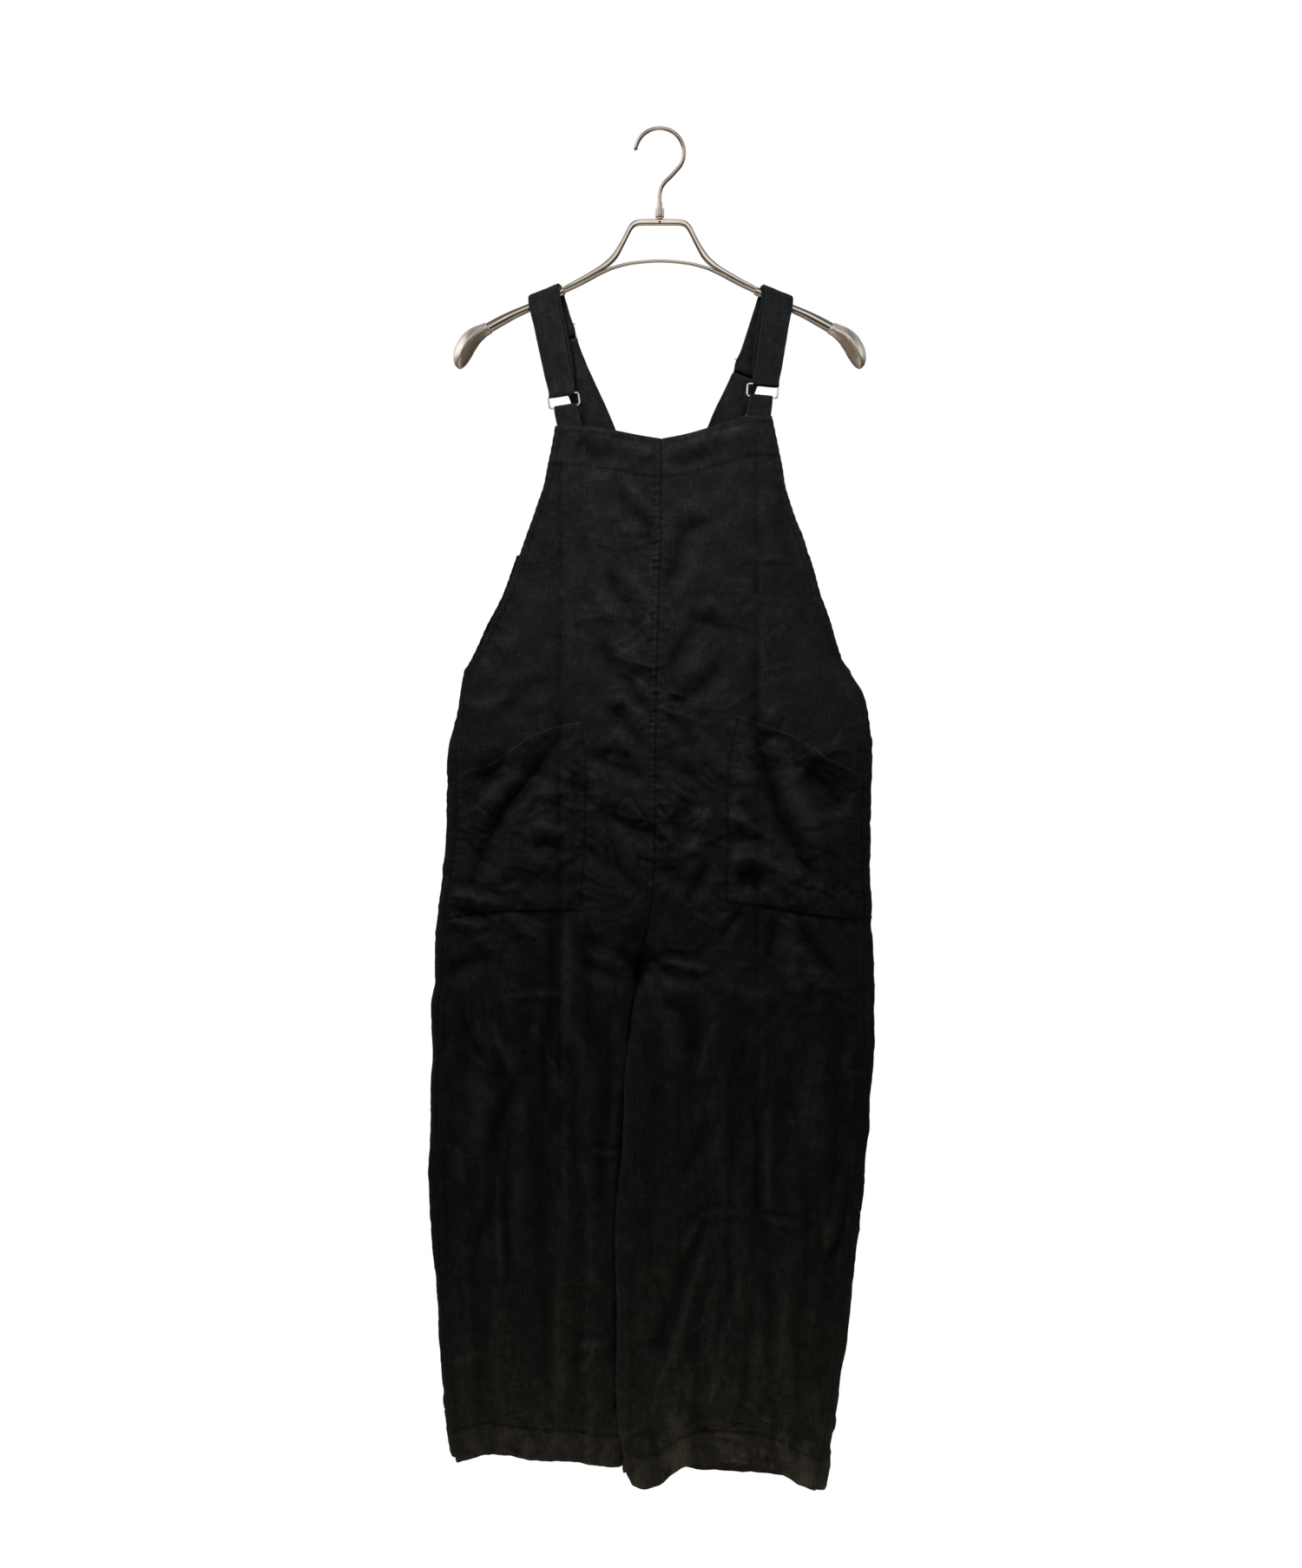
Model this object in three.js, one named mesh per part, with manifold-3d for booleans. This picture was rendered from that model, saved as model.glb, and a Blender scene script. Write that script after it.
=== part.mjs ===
// Bib dungarees of black linen, hanging on a metal clothes hanger. Millimetres, +Z up.
// +X is the right as seen from the front, and the front faces -Y.
// The origin is the inside top of the hook, where a rail carries it.
import * as THREE from 'three';
import { mergeVertices } from 'three/addons/utils/BufferGeometryUtils.js';
import Module from 'manifold-3d';

const wasm = await Module();
wasm.setup();

const SIDES = { right: 1, left: -1 };

// ---- Driving dimensions ----

const clothWall = 1.6; // panels, with their turned edges
const pocketWall = 1.4;
const ribbonWall = 1.2; // straps and tabs, sewn double
const seamGap = 0.3;
const strapWidth = 30;
const tabWidth = 25;
const tabTurnWidth = 23.5; // round the ring
const peek = 2.5; // how far the strap's under layer shows on its inner side

const armRadius = 4;
const wireRadius = 1; // rings
const ringLine = { wide: 31, high: 12.6, corner: 2.4 }; // centre line of the ring wire
const sliderPlate = { wide: 37, high: 20, thick: 1.6, bar: 1.6, corner: 2.5, slotCorner: 1 };

const sideSeamTop = -558; // where the armholes end
const kneeLevel = -1130;
const seamTurn = 0.3; // radians that the side seam has rolled to the front
const crotch = -846;
const forkTop = { front: -777, back: -752 }; // where the crotch curve leaves the centre seam
const legShift = 7; // each leg's inner edge, forwards or back of the other
const legOverlap = 3;
const legRoll = 0.5; // share of a leg's width that rounds inwards to its inner edge
const legFlat = 0.42; // share of a leg's width that hangs flat before it rounds to the side
const backEdgeShift = { right: 2.5, left: -4 }; // back armhole edge against the front one
const bibLevel = -317; // bib top at the centre seam
const backLevel = -426; // back top at the centre seam
const hemLevel = -1370;

// Each panel is split at these heights into simpler walls. The cloth runs on across them.
const panelParts = [
  { name: 'top', from: 0, to: sideSeamTop },
  { name: 'hip', from: sideSeamTop, to: crotch },
  { name: 'thigh', from: crotch, to: kneeLevel },
  { name: 'shin', from: kneeLevel, to: hemLevel },
];

// Outline from the front, by height.
const outline = [
  { z: -290, left: -104, right: 113 },
  { z: -311, left: -107, right: 118 },
  { z: -346, left: -115, right: 125 },
  { z: -382, left: -124, right: 133 },
  { z: -417, left: -137, right: 144 },
  { z: -453, left: -149, right: 155 },
  { z: -488, left: -163, right: 166 },
  { z: -524, left: -182, right: 177 },
  { z: -556, left: -200, right: 195 },
  { z: -575, left: -203, right: 206 },
  { z: -613, left: -209, right: 215 },
  { z: -648, left: -216, right: 217 },
  { z: -702, left: -216, right: 214 },
  { z: -755, left: -221, right: 216 },
  { z: -808, left: -228, right: 218 },
  { z: -879, left: -232, right: 218 },
  { z: -932, left: -234, right: 219 },
  { z: -986, left: -235, right: 216 },
  { z: -1057, left: -235, right: 211 },
  { z: -1146, left: -233, right: 203 },
  { z: -1217, left: -227, right: 196 },
  { z: -1288, left: -224, right: 185 },
  { z: -1341, left: -220, right: 175 },
  { z: -1392, left: -212, right: 167 },
];

// Centre seam, and below the crotch the line where the legs meet.
const centreLine = [
  { z: -290, x: 2 },
  { z: -410, x: 1 },
  { z: -500, x: -1 },
  { z: -560, x: -3 },
  { z: -630, x: -4 },
  { z: -770, x: -6 },
  { z: -806, x: -11 },
  { z: -826, x: -17 },
  { z: -846, x: -20 },
  { z: -864, x: -22 },
  { z: -888, x: -27 },
  { z: -935, x: -34 },
  { z: -1039, x: -39 },
  { z: -1096, x: -45 },
  { z: -1281, x: -45 },
  { z: -1361, x: -38 },
  { z: -1392, x: -36 },
];

// How far the cloth stands off the hanging plane: at its fullest, and at its free edges.
const bulge = [
  { z: -290, front: 11.5, frontEdge: 11.5, back: 11, backEdge: 11 },
  { z: -330, front: 12.5, frontEdge: 11.3, back: 11, backEdge: 11 },
  { z: -426, front: 19, frontEdge: 9.5, back: 12, backEdge: 10.5 },
  { z: -500, front: 26, frontEdge: 5.5, back: 20, backEdge: 5.5 },
  { z: -558, front: 31, frontEdge: 0, back: 27, backEdge: 0 },
  { z: -640, front: 37, frontEdge: 0, back: 35, backEdge: 0 },
  { z: -740, front: 40, frontEdge: 0, back: 40, backEdge: 0 },
  { z: -840, front: 37, frontEdge: 0, back: 38, backEdge: 0 },
  { z: -950, front: 31, frontEdge: 0, back: 31, backEdge: 0 },
  { z: -1150, front: 28, frontEdge: 0, back: 28, backEdge: 0 },
  { z: -1400, front: 27, frontEdge: 0, back: 27, backEdge: 0 },
];

// Free edges, by share of the way from the centre seam (0) to the side (1).
const bibTop = [
  { share: 0, left: -317, right: -317 },
  { share: 0.22, left: -313, right: -312 },
  { share: 0.46, left: -308, right: -304 },
  { share: 0.66, left: -305, right: -297 },
  { share: 0.78, left: -304, right: -293 },
  { share: 1, left: -304, right: -294 },
];
const backTop = [
  { share: 0, left: -426, right: -426 },
  { share: 0.5, left: -427, right: -427 },
  { share: 1, left: -434, right: -434 },
];
const frontHem = [
  { share: 0, left: -1364, right: -1374 },
  { share: 0.06, left: -1362, right: -1385 },
  { share: 0.14, left: -1360, right: -1386 },
  { share: 0.24, left: -1358, right: -1371 },
  { share: 0.42, left: -1359, right: -1362 },
  { share: 0.64, left: -1358, right: -1365 },
  { share: 0.76, left: -1356, right: -1376 },
  { share: 0.9, left: -1362, right: -1388 },
  { share: 1, left: -1354, right: -1390 },
];
const backHem = [
  { share: 0, left: -1364, right: -1374 },
  { share: 0.25, left: -1362, right: -1379 },
  { share: 0.5, left: -1361, right: -1381 },
  { share: 0.75, left: -1359, right: -1384 },
  { share: 0.9, left: -1358, right: -1388 },
  { share: 1, left: -1354, right: -1390 },
];

// The largest folds: a trough from one point to another, a ridge where the depth is below zero.
const folds = [
  { face: 'front', x0: -39, z0: -382, x1: -9, z1: -437, wide: 16, deep: 2.5 },
  { face: 'front', x0: -53, z0: -454, x1: -12, z1: -514, wide: 18, deep: 3 },
  { face: 'front', x0: -58, z0: -526, x1: -12, z1: -560, wide: 16, deep: 2.5 },
  { face: 'front', x0: 52, z0: -405, x1: 6, z1: -475, wide: 18, deep: 3 },
  { face: 'front', x0: 62, z0: -509, x1: 6, z1: -562, wide: 18, deep: 3 },
  { face: 'front', x0: -67, z0: -644, x1: -14, z1: -668, wide: 18, deep: 3 },
  { face: 'front', x0: 97, z0: -632, x1: 157, z1: -765, wide: 26, deep: 3 },
  { face: 'front', x0: -122, z0: -652, x1: -188, z1: -775, wide: 26, deep: 3 },
  { face: 'front', x0: 20, z0: -830, x1: 60, z1: -838, wide: 22, deep: -4 },
  { face: 'front', x0: 52, z0: -1116, x1: 0, z1: -1280, wide: 24, deep: -4 },
  { face: 'front', x0: 90, z0: -1152, x1: 52, z1: -1300, wide: 20, deep: -3 },
  { face: 'front', x0: -128, z0: -810, x1: -128, z1: -1310, wide: 26, deep: 4 },
  { face: 'back', x0: 40, z0: -560, x1: 110, z1: -700, wide: 26, deep: 4 },
  { face: 'back', x0: -50, z0: -570, x1: -120, z1: -720, wide: 26, deep: 4 },
  { face: 'back', x0: 30, z0: -820, x1: 120, z1: -780, wide: 22, deep: -4 },
  { face: 'back', x0: -60, z0: -830, x1: -140, z1: -790, wide: 22, deep: -4 },
  { face: 'back', x0: 90, z0: -900, x1: 80, z1: -1320, wide: 28, deep: 4 },
  { face: 'back', x0: -140, z0: -920, x1: -130, z1: -1310, wide: 28, deep: 4 },
];

// Where the grid lines of a panel run: heights at the centre seam, and shares of the sweep
// from the side seam to the centre seam.
const bodyLevels = [sideSeamTop, -573, -595, -625, -660, -700, -735, -756, -777, -795, -811, -824, -834,
  -841, -845, crotch, -852, -862, -880, -910, -950, -1005, -1065, kneeLevel, -1195, -1260,
  -1320, hemLevel];
const frontLevels = [bibLevel, -335, -357, -385, -415, -450, -485, -515, -540, ...bodyLevels];
const backLevels = [backLevel, -452, -485, -515, -540, ...bodyLevels];
const frontSweep = [0, 0.2, 0.34, 0.46, 0.56, 0.65, 0.735, 0.82, 0.9, 0.955, 0.988, 1];
const backSweep = [0, 0.08, 0.16, 0.24, 0.32, 0.41, 0.5, 0.58, 0.66, 0.74, 0.81, 0.87, 0.92, 0.96,
  0.99, 1];

// Patch pockets: edges by share of the pocket's width from its inner edge.
const pockets = {
  right: [
    { share: 0, top: -600, bottom: -788 },
    { share: 0.32, top: -615, bottom: -792 },
    { share: 0.68, top: -639, bottom: -802 },
    { share: 1, top: -660, bottom: -806 },
  ],
  left: [
    { share: 0, top: -606, bottom: -796 },
    { share: 0.22, top: -612, bottom: -796 },
    { share: 0.62, top: -640, bottom: -797 },
    { share: 1, top: -660, bottom: -806 },
  ],
};
const pocketSweep = frontSweep.slice(0, 7); // the front's own grid lines, from its side seam
const pocketRows = 8;
const pocketInset = 0.014; // radians from the side seam to the pocket's outer edge
const pocketMouth = 2.5; // how far the mouth stands off the front
const pocketLift = 1.1; // clearance over the front, which is facetted

// Straps, rings, tabs and sliders, each with its own lean.
const strapRig = {
  right: {
    front: [{ z: -168, x: 120.5 }, { z: -209, x: 114.5 }, { z: -244, x: 110 }, { z: -262, x: 106.5 }],
    back: [
      { z: -168, x: 113 },
      { z: -239, x: 94.5 },
      { z: -266, x: 84 },
      { z: -304, x: 69.5 },
      { z: -440, x: 20 },
    ],
    armZ: -170.2,
    ring: { x: 104.8, z: -267.6, tilt: -5 },
    tab: [{ z: -262, x: 103.8 }, { z: -293, x: 100.8 }, { z: -330, x: 97 }],
    slider: -248,
  },
  left: {
    front: [{ z: -168, x: -119 }, { z: -213, x: -112.5 }, { z: -249, x: -105.5 }, { z: -272, x: -99.5 }],
    back: [
      { z: -168, x: -110 },
      { z: -239, x: -90.5 },
      { z: -272, x: -78 },
      { z: -308, x: -62.5 },
      { z: -440, x: -14 },
    ],
    armZ: -169.3,
    ring: { x: -97.7, z: -277.6, tilt: 8.7 },
    tab: [{ z: -272, x: -97.5 }, { z: -303, x: -92 }, { z: -338, x: -86.5 }],
    slider: -212,
  },
};
const lean = { front: 12, top: 24, back: 20 }; // degrees that a strap's width rises to the centre
const ringPlane = -7; // y of the ring wire
const turnRadius = wireRadius + seamGap + ribbonWall / 2; // ribbon's centre line round a wire
const underTurn = armRadius + 0.4 + ribbonWall / 2; // round the hanger's arm, under layer
const overTurn = underTurn + ribbonWall + seamGap;
const sliderY = underTurn - turnRadius - 0.1; // y of the slider's plate
const strapFoot = 8; // y where the strap is sewn inside the back
const strapEnd = -440;
const ringSqueeze = 25.5; // strap width in the ring

// Hanger, mirrored left and right.
const hook = { wire: 2.05, turn: 24.9, tipAngle: 176, leaveAngle: -42 };
const stemLine = [{ x: 10.5, z: -48.3 }, { x: 5, z: -53.6 }, { x: 1.4, z: -59.6 }, { x: 0, z: -67 },
  { x: 0, z: -78 }, { x: 0, z: -90.7 }];
const ferruleProfile = [
  { radius: 2.35, z: -90.7 },
  { radius: 3.2, z: -90.7 },
  { radius: 3.2, z: -88.6 },
  { radius: 4.55, z: -88 },
  { radius: 4.55, z: -80.8 },
  { radius: 3.4, z: -80 },
  { radius: 3.4, z: -77 },
  { radius: 2.35, z: -77 },
  { radius: 2.35, z: -90.7 },
];
const bridge = { half: 30, top: -91, high: 6.7, deep: 5, leg: 5.2, corner: 3, hole: 1.2 };
const bridgeLeg = [{ out: 27, z: -94.6 }, { out: 32, z: -103 }, { out: 40, z: -120.5 },
  { out: 52.5, z: -138.5 }, { out: 76, z: -152.5 }, { out: 101, z: -165.2 }];
const rodArch = [{ out: 101, z: -166.4 }, { out: 76, z: -154 }, { out: 52, z: -141.5 },
  { out: 26, z: -135.3 }, { out: 0, z: -133.3 }];
const rodRadius = 1.7;
const armLine = [{ out: 99, z: -164.4 }, { out: 117, z: -174 }, { out: 136, z: -183.9 },
  { out: 156, z: -192 }, { out: 175, z: -198.9 }];
const capRings = [
  { out: 175.5, z: -199.2, high: 4.7, wide: 4.7 },
  { out: 179.5, z: -201.3, high: 5.9, wide: 7.5 },
  { out: 185, z: -205.2, high: 7.7, wide: 11.5 },
  { out: 191, z: -210.8, high: 9.2, wide: 15 },
  { out: 197, z: -217.8, high: 9.9, wide: 17.5 },
  { out: 201.4, z: -225.5, high: 9.6, wide: 18.5 },
  { out: 203.8, z: -233, high: 8.2, wide: 17.5 },
  { out: 204.7, z: -239.4, high: 5.6, wide: 14 },
  { out: 204.8, z: -243.6, high: 2.2, wide: 8 },
];

// ---- Tables and smooth steps ----

const clamp01 = (t) => Math.min(1, Math.max(0, t));
const smooth = (t) => clamp01(t) ** 2 * (3 - 2 * clamp01(t));
const mix = (a, b, t) => a + (b - a) * t;
const radians = THREE.MathUtils.degToRad;

// A named column of a table at a place between its rows: a cubic that never overshoots.
function tableAt(rows, key, at, name) {
  const down = rows[0][key] > rows[1][key] ? -1 : 1;
  let i = 0;
  while (i < rows.length - 2 && (at - rows[i + 1][key]) * down > 0) i += 1;
  const slope = (k) => (rows[k + 1][name] - rows[k][name]) / (rows[k + 1][key] - rows[k][key]);
  const tangent = (k) => {
    if (k <= 0) return slope(0);
    if (k >= rows.length - 1) return slope(rows.length - 2);
    const before = slope(k - 1);
    const after = slope(k);
    return before * after <= 0 ? 0 : (2 * before * after) / (before + after);
  };
  const span = rows[i + 1][key] - rows[i][key];
  const t = clamp01((at - rows[i][key]) / span);
  const rise = (1 + 2 * t) * (1 - t) ** 2 * rows[i][name] + t * t * (3 - 2 * t) * rows[i + 1][name];
  return rise + span * (t * (1 - t) ** 2 * tangent(i) - t * t * (1 - t) * tangent(i + 1));
}

// ---- The garment's surface ----

// Height of a fold at a point: a soft trough along a line, fading at its ends.
function foldDepth(face, x, z) {
  let depth = 0;
  for (const fold of folds) {
    if (fold.face === face) {
      const run = new THREE.Vector2(fold.x1 - fold.x0, fold.z1 - fold.z0);
      const away = new THREE.Vector2(x - fold.x0, z - fold.z0);
      const along = away.dot(run) / run.lengthSq();
      const across = away.cross(run) / run.length();
      const fade = smooth(2.5 * Math.min(along, 1 - along) + 0.4);
      depth += fold.deep * fade * Math.exp(-((across / fold.wide) ** 2) * 2);
    }
  }
  return depth;
}

// Inner edge of one half: the centre seam, then the inside of its leg. Below the crotch the
// right leg's edge lies in front of the left one's and covers it a little.
function innerX(side, z) {
  const centre = tableAt(centreLine, 'z', z, 'x');
  const below = smooth((crotch - z) / 150);
  if (side === 'right') return centre + seamGap / 2;
  return centre + mix(-seamGap / 2, legOverlap, below);
}

// How far down the crotch curve a height lies, and how much of the cloth's depth is left there
// on the centre seam: the curve is a quarter of an ellipse.
function forkAt(face, z) {
  const fork = clamp01((forkTop[face] - z) / (forkTop[face] - crotch));
  return { fork, pinch: Math.sqrt(1 - fork * fork) };
}

// Off-plane reach of one face at a share of the way out: an ellipse on the body, a flatter
// sheet on the bib, pinched at the fork and rounded inwards on the legs.
function reach(face, share, z) {
  const full = tableAt(bulge, 'z', z, face);
  const edge = tableAt(bulge, 'z', z, `${face}Edge`);
  const flatShare = legFlat * smooth((sideSeamTop - 160 - z) / 220);
  const past = clamp01((share - flatShare) / (1 - flatShare));
  const power = mix(1, 0.5, smooth((-470 - z) / 110));
  const outward = edge + (full - edge) * (1 - past * past) ** power;
  const { fork, pinch } = forkAt(face, z);
  const rollShare = 0.04 + 0.16 * fork + (legRoll - 0.2) * smooth((crotch - z) / 120);
  const rolled = clamp01(share / rollShare);
  return outward * (pinch + (1 - pinch) * Math.sqrt(1 - (1 - rolled) ** 2));
}

// A point of the body. The angle sweeps a half's section from the centre of the front (-90
// degrees) through its outermost line (0) to the centre of the back (90 degrees).
function bodyPoint(side, face, angle, z) {
  const share = Math.cos(angle);
  const inner = innerX(side, z);
  const shift = face === 'back' ? backEdgeShift[side] * smooth((z - sideSeamTop) / 60) : 0;
  const outer = tableAt(outline, 'z', z, side) + shift;
  const x = mix(inner, outer, share);
  const free = z > sideSeamTop;
  const towards = free ? { front: -1, back: 1 }[face] : Math.sign(angle);
  const near = towards < 0 ? 'front' : 'back';
  const seamKeep = z > forkTop[near] ? 1 : smooth(share / 0.15);
  const keep = seamKeep * smooth((1 - share) / 0.08);
  const out = reach(near, share, z) - keep * foldDepth(near, x, z);
  const middle = -SIDES[side] * legShift * smooth((crotch - z) / 40) * (1 - share) ** 2;
  return new THREE.Vector3(x, middle + towards * out, z);
}

// Direction through the cloth to the inside of the garment.
function inwards(side, face, angle, z) {
  const turn = 0.004;
  const drop = 1;
  const ahead = bodyPoint(side, face, angle + turn, z);
  const behind = bodyPoint(side, face, angle - turn, z);
  const above = bodyPoint(side, face, angle, z + drop);
  const below = bodyPoint(side, face, angle, z - drop);
  const normal = ahead.sub(behind).cross(above.sub(below)).normalize();
  const share = Math.cos(angle);
  const guess = new THREE.Vector3(-SIDES[side] * share ** 8, angle < 0 ? 1 : -1, 0);
  return normal.dot(guess) < 0 ? normal.negate() : normal;
}

// On the centre seam the cloth's edge points straight in, and it turns to point along X where
// the two halves part at the fork.
function centreInwards(side, face, z) {
  const { pinch } = forkAt(face, z);
  const towards = face === 'front' ? 1 : -1;
  return new THREE.Vector3(SIDES[side] * (1 - pinch), towards * pinch, 0).normalize();
}

// Direction of the cloth from the side seam towards the centre of its face.
function awayFromSeam(side, face, angle, z) {
  const turn = face === 'front' ? -0.01 : 0.01;
  return bodyPoint(side, face, angle + turn, z).sub(bodyPoint(side, face, angle, z)).normalize();
}

// Angle of the side seam: outermost at the armhole, then rolled to the front.
function seamAngle(z) {
  return -seamTurn * smooth((sideSeamTop - z) / 100);
}

// ---- Closed walls from grids ----

// A geometry from rows of points, with quads between them.
function meshFrom(points, quads) {
  const geometry = new THREE.BufferGeometry();
  const numbers = points.flatMap((point) => point.toArray());
  geometry.setAttribute('position', new THREE.Float32BufferAttribute(numbers, 3));
  geometry.setIndex(quads.flatMap(([a, b, c, d]) => (c === d ? [a, b, c] : [a, b, c, a, c, d])));
  return geometry;
}

// A closed wall between an outer and an inner grid of points of the same size.
function wallFrom(outerGrid, innerGrid) {
  const rows = outerGrid.length;
  const columns = outerGrid[0].length;
  const points = [...outerGrid.flat(), ...innerGrid.flat()];
  const outer = (i, j) => i * columns + j;
  const inner = (i, j) => rows * columns + i * columns + j;
  const quads = [];
  for (let i = 0; i < rows - 1; i += 1) {
    for (let j = 0; j < columns - 1; j += 1) {
      quads.push([outer(i, j), outer(i + 1, j), outer(i + 1, j + 1), outer(i, j + 1)]);
      quads.push([inner(i, j), inner(i, j + 1), inner(i + 1, j + 1), inner(i + 1, j)]);
    }
  }
  for (let i = 0; i < rows - 1; i += 1) {
    quads.push([outer(i, 0), inner(i, 0), inner(i + 1, 0), outer(i + 1, 0)]);
    const last = columns - 1;
    quads.push([outer(i, last), outer(i + 1, last), inner(i + 1, last), inner(i, last)]);
  }
  for (let j = 0; j < columns - 1; j += 1) {
    quads.push([outer(0, j), outer(0, j + 1), inner(0, j + 1), inner(0, j)]);
    const last = rows - 1;
    quads.push([outer(last, j), inner(last, j), inner(last, j + 1), outer(last, j + 1)]);
  }
  return facingOut(meshFrom(points, quads));
}

// Turn a closed mesh the right way out, by the sign of its volume.
function facingOut(geometry) {
  const position = geometry.getAttribute('position');
  const index = geometry.getIndex().array;
  const [a, b, c] = [new THREE.Vector3(), new THREE.Vector3(), new THREE.Vector3()];
  let volume = 0;
  for (let k = 0; k < index.length; k += 3) {
    a.fromBufferAttribute(position, index[k]);
    b.fromBufferAttribute(position, index[k + 1]);
    c.fromBufferAttribute(position, index[k + 2]);
    volume += a.dot(b.cross(c));
  }
  if (volume < 0) {
    for (let k = 0; k < index.length; k += 3) [index[k], index[k + 1]] = [index[k + 1], index[k]];
  }
  return geometry;
}

// A part of one half of the front or of the back, as a wall between two of its grid levels. The
// top and the hem follow their own tables, and the levels near them move with them.
function panel(side, face, levels, sweep, topEdge, hemEdge, from, to) {
  const towards = face === 'front' ? -1 : 1;
  const centre = towards * (Math.PI / 2);
  const topFade = 90;
  const hemFade = 80;
  const outerGrid = [];
  const innerGrid = [];
  for (const level of levels.filter((height) => height <= from && height >= to)) {
    const outerRow = [];
    const innerRow = [];
    const topPart = smooth(1 - (levels[0] - level) / topFade);
    const hemPart = smooth(1 - (level - hemLevel) / hemFade);
    let cut = 0;
    if (level === from && from < levels[0]) cut = -seamGap / 2;
    if (level === to && to > hemLevel) cut = seamGap / 2;
    for (const part of sweep) {
      const share = Math.cos(mix(seamAngle(level), centre, part));
      const topLift = topPart * (tableAt(topEdge, 'share', share, side) - levels[0]);
      const hemLift = hemPart * (tableAt(hemEdge, 'share', share, side) - hemLevel);
      const z = level + cut + topLift + hemLift;
      const angle = mix(seamAngle(z), centre, part);
      const point = bodyPoint(side, face, angle, z);
      const onCentre = part === 1;
      if (part === 0) point.addScaledVector(awayFromSeam(side, face, angle, z), seamGap / 2);
      if (onCentre && z <= crotch) point.y += (towards * seamGap) / 2;
      const inward = onCentre ? centreInwards(side, face, z) : inwards(side, face, angle, z);
      outerRow.push(point);
      innerRow.push(point.clone().addScaledVector(inward, clothWall));
    }
    outerGrid.push(outerRow);
    innerGrid.push(innerRow);
  }
  return wallFrom(outerGrid, innerGrid);
}

// A patch pocket: points of the front, moved out, with a mouth that stands off it.
function pocket(side) {
  const centre = -Math.PI / 2;
  const seamShare = Math.cos(seamTurn);
  const innerShare = Math.cos(mix(-seamTurn, centre, pocketSweep.at(-1)));
  const outerGrid = [];
  const innerGrid = [];
  for (let i = 0; i <= pocketRows; i += 1) {
    const drop = i / pocketRows;
    const outerRow = [];
    const innerRow = [];
    for (const part of pocketSweep) {
      const across = Math.cos(mix(-seamTurn, centre, part));
      const share = (across - innerShare) / (seamShare - innerShare);
      const top = tableAt(pockets[side], 'share', share, 'top');
      const bottom = tableAt(pockets[side], 'share', share, 'bottom');
      const z = mix(top, bottom, drop);
      const angle = mix(seamAngle(z), centre, part) - (part === 0 ? pocketInset : 0);
      const outward = inwards(side, 'front', angle, z).negate();
      const mouth = pocketMouth * Math.sin(Math.PI * clamp01(share)) * (1 - smooth(drop * 2));
      const point = bodyPoint(side, 'front', angle, z);
      innerRow.push(point.clone().addScaledVector(outward, pocketLift + mouth));
      outerRow.push(point.clone().addScaledVector(outward, pocketLift + mouth + pocketWall));
    }
    outerGrid.push(outerRow);
    innerGrid.push(innerRow);
  }
  return wallFrom(outerGrid, innerGrid);
}

// ---- Ribbons: straps and tabs ----

// A flat ribbon along stations of { at, tilt, wide }, its width tilted in the XZ plane.
function ribbon(stations, thick) {
  const outerGrid = [];
  const innerGrid = [];
  stations.forEach(({ at, tilt, wide }, k) => {
    const before = stations[Math.max(0, k - 1)].at;
    const after = stations[Math.min(stations.length - 1, k + 1)].at;
    const along = after.clone().sub(before).normalize();
    const across = new THREE.Vector3(Math.cos(tilt), 0, Math.sin(tilt));
    const through = along.clone().cross(across).normalize();
    across.multiplyScalar(wide / 2);
    through.multiplyScalar(thick / 2);
    const [left, right] = [at.clone().sub(across), at.clone().add(across)];
    outerGrid.push([left.clone().add(through), right.clone().add(through)]);
    innerGrid.push([left.sub(through), right.sub(through)]);
  });
  return wallFrom(outerGrid, innerGrid);
}

// Stations round a wire or a bar that lies along X, from one angle to another in the YZ plane.
function halfTurn(x, y, z, radius, from, to, steps, tilt, wide) {
  return Array.from({ length: steps + 1 }, (_, k) => {
    const a = mix(from, to, k / steps);
    return { at: new THREE.Vector3(x, y + radius * Math.cos(a), z + radius * Math.sin(a)), tilt, wide };
  });
}

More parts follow.
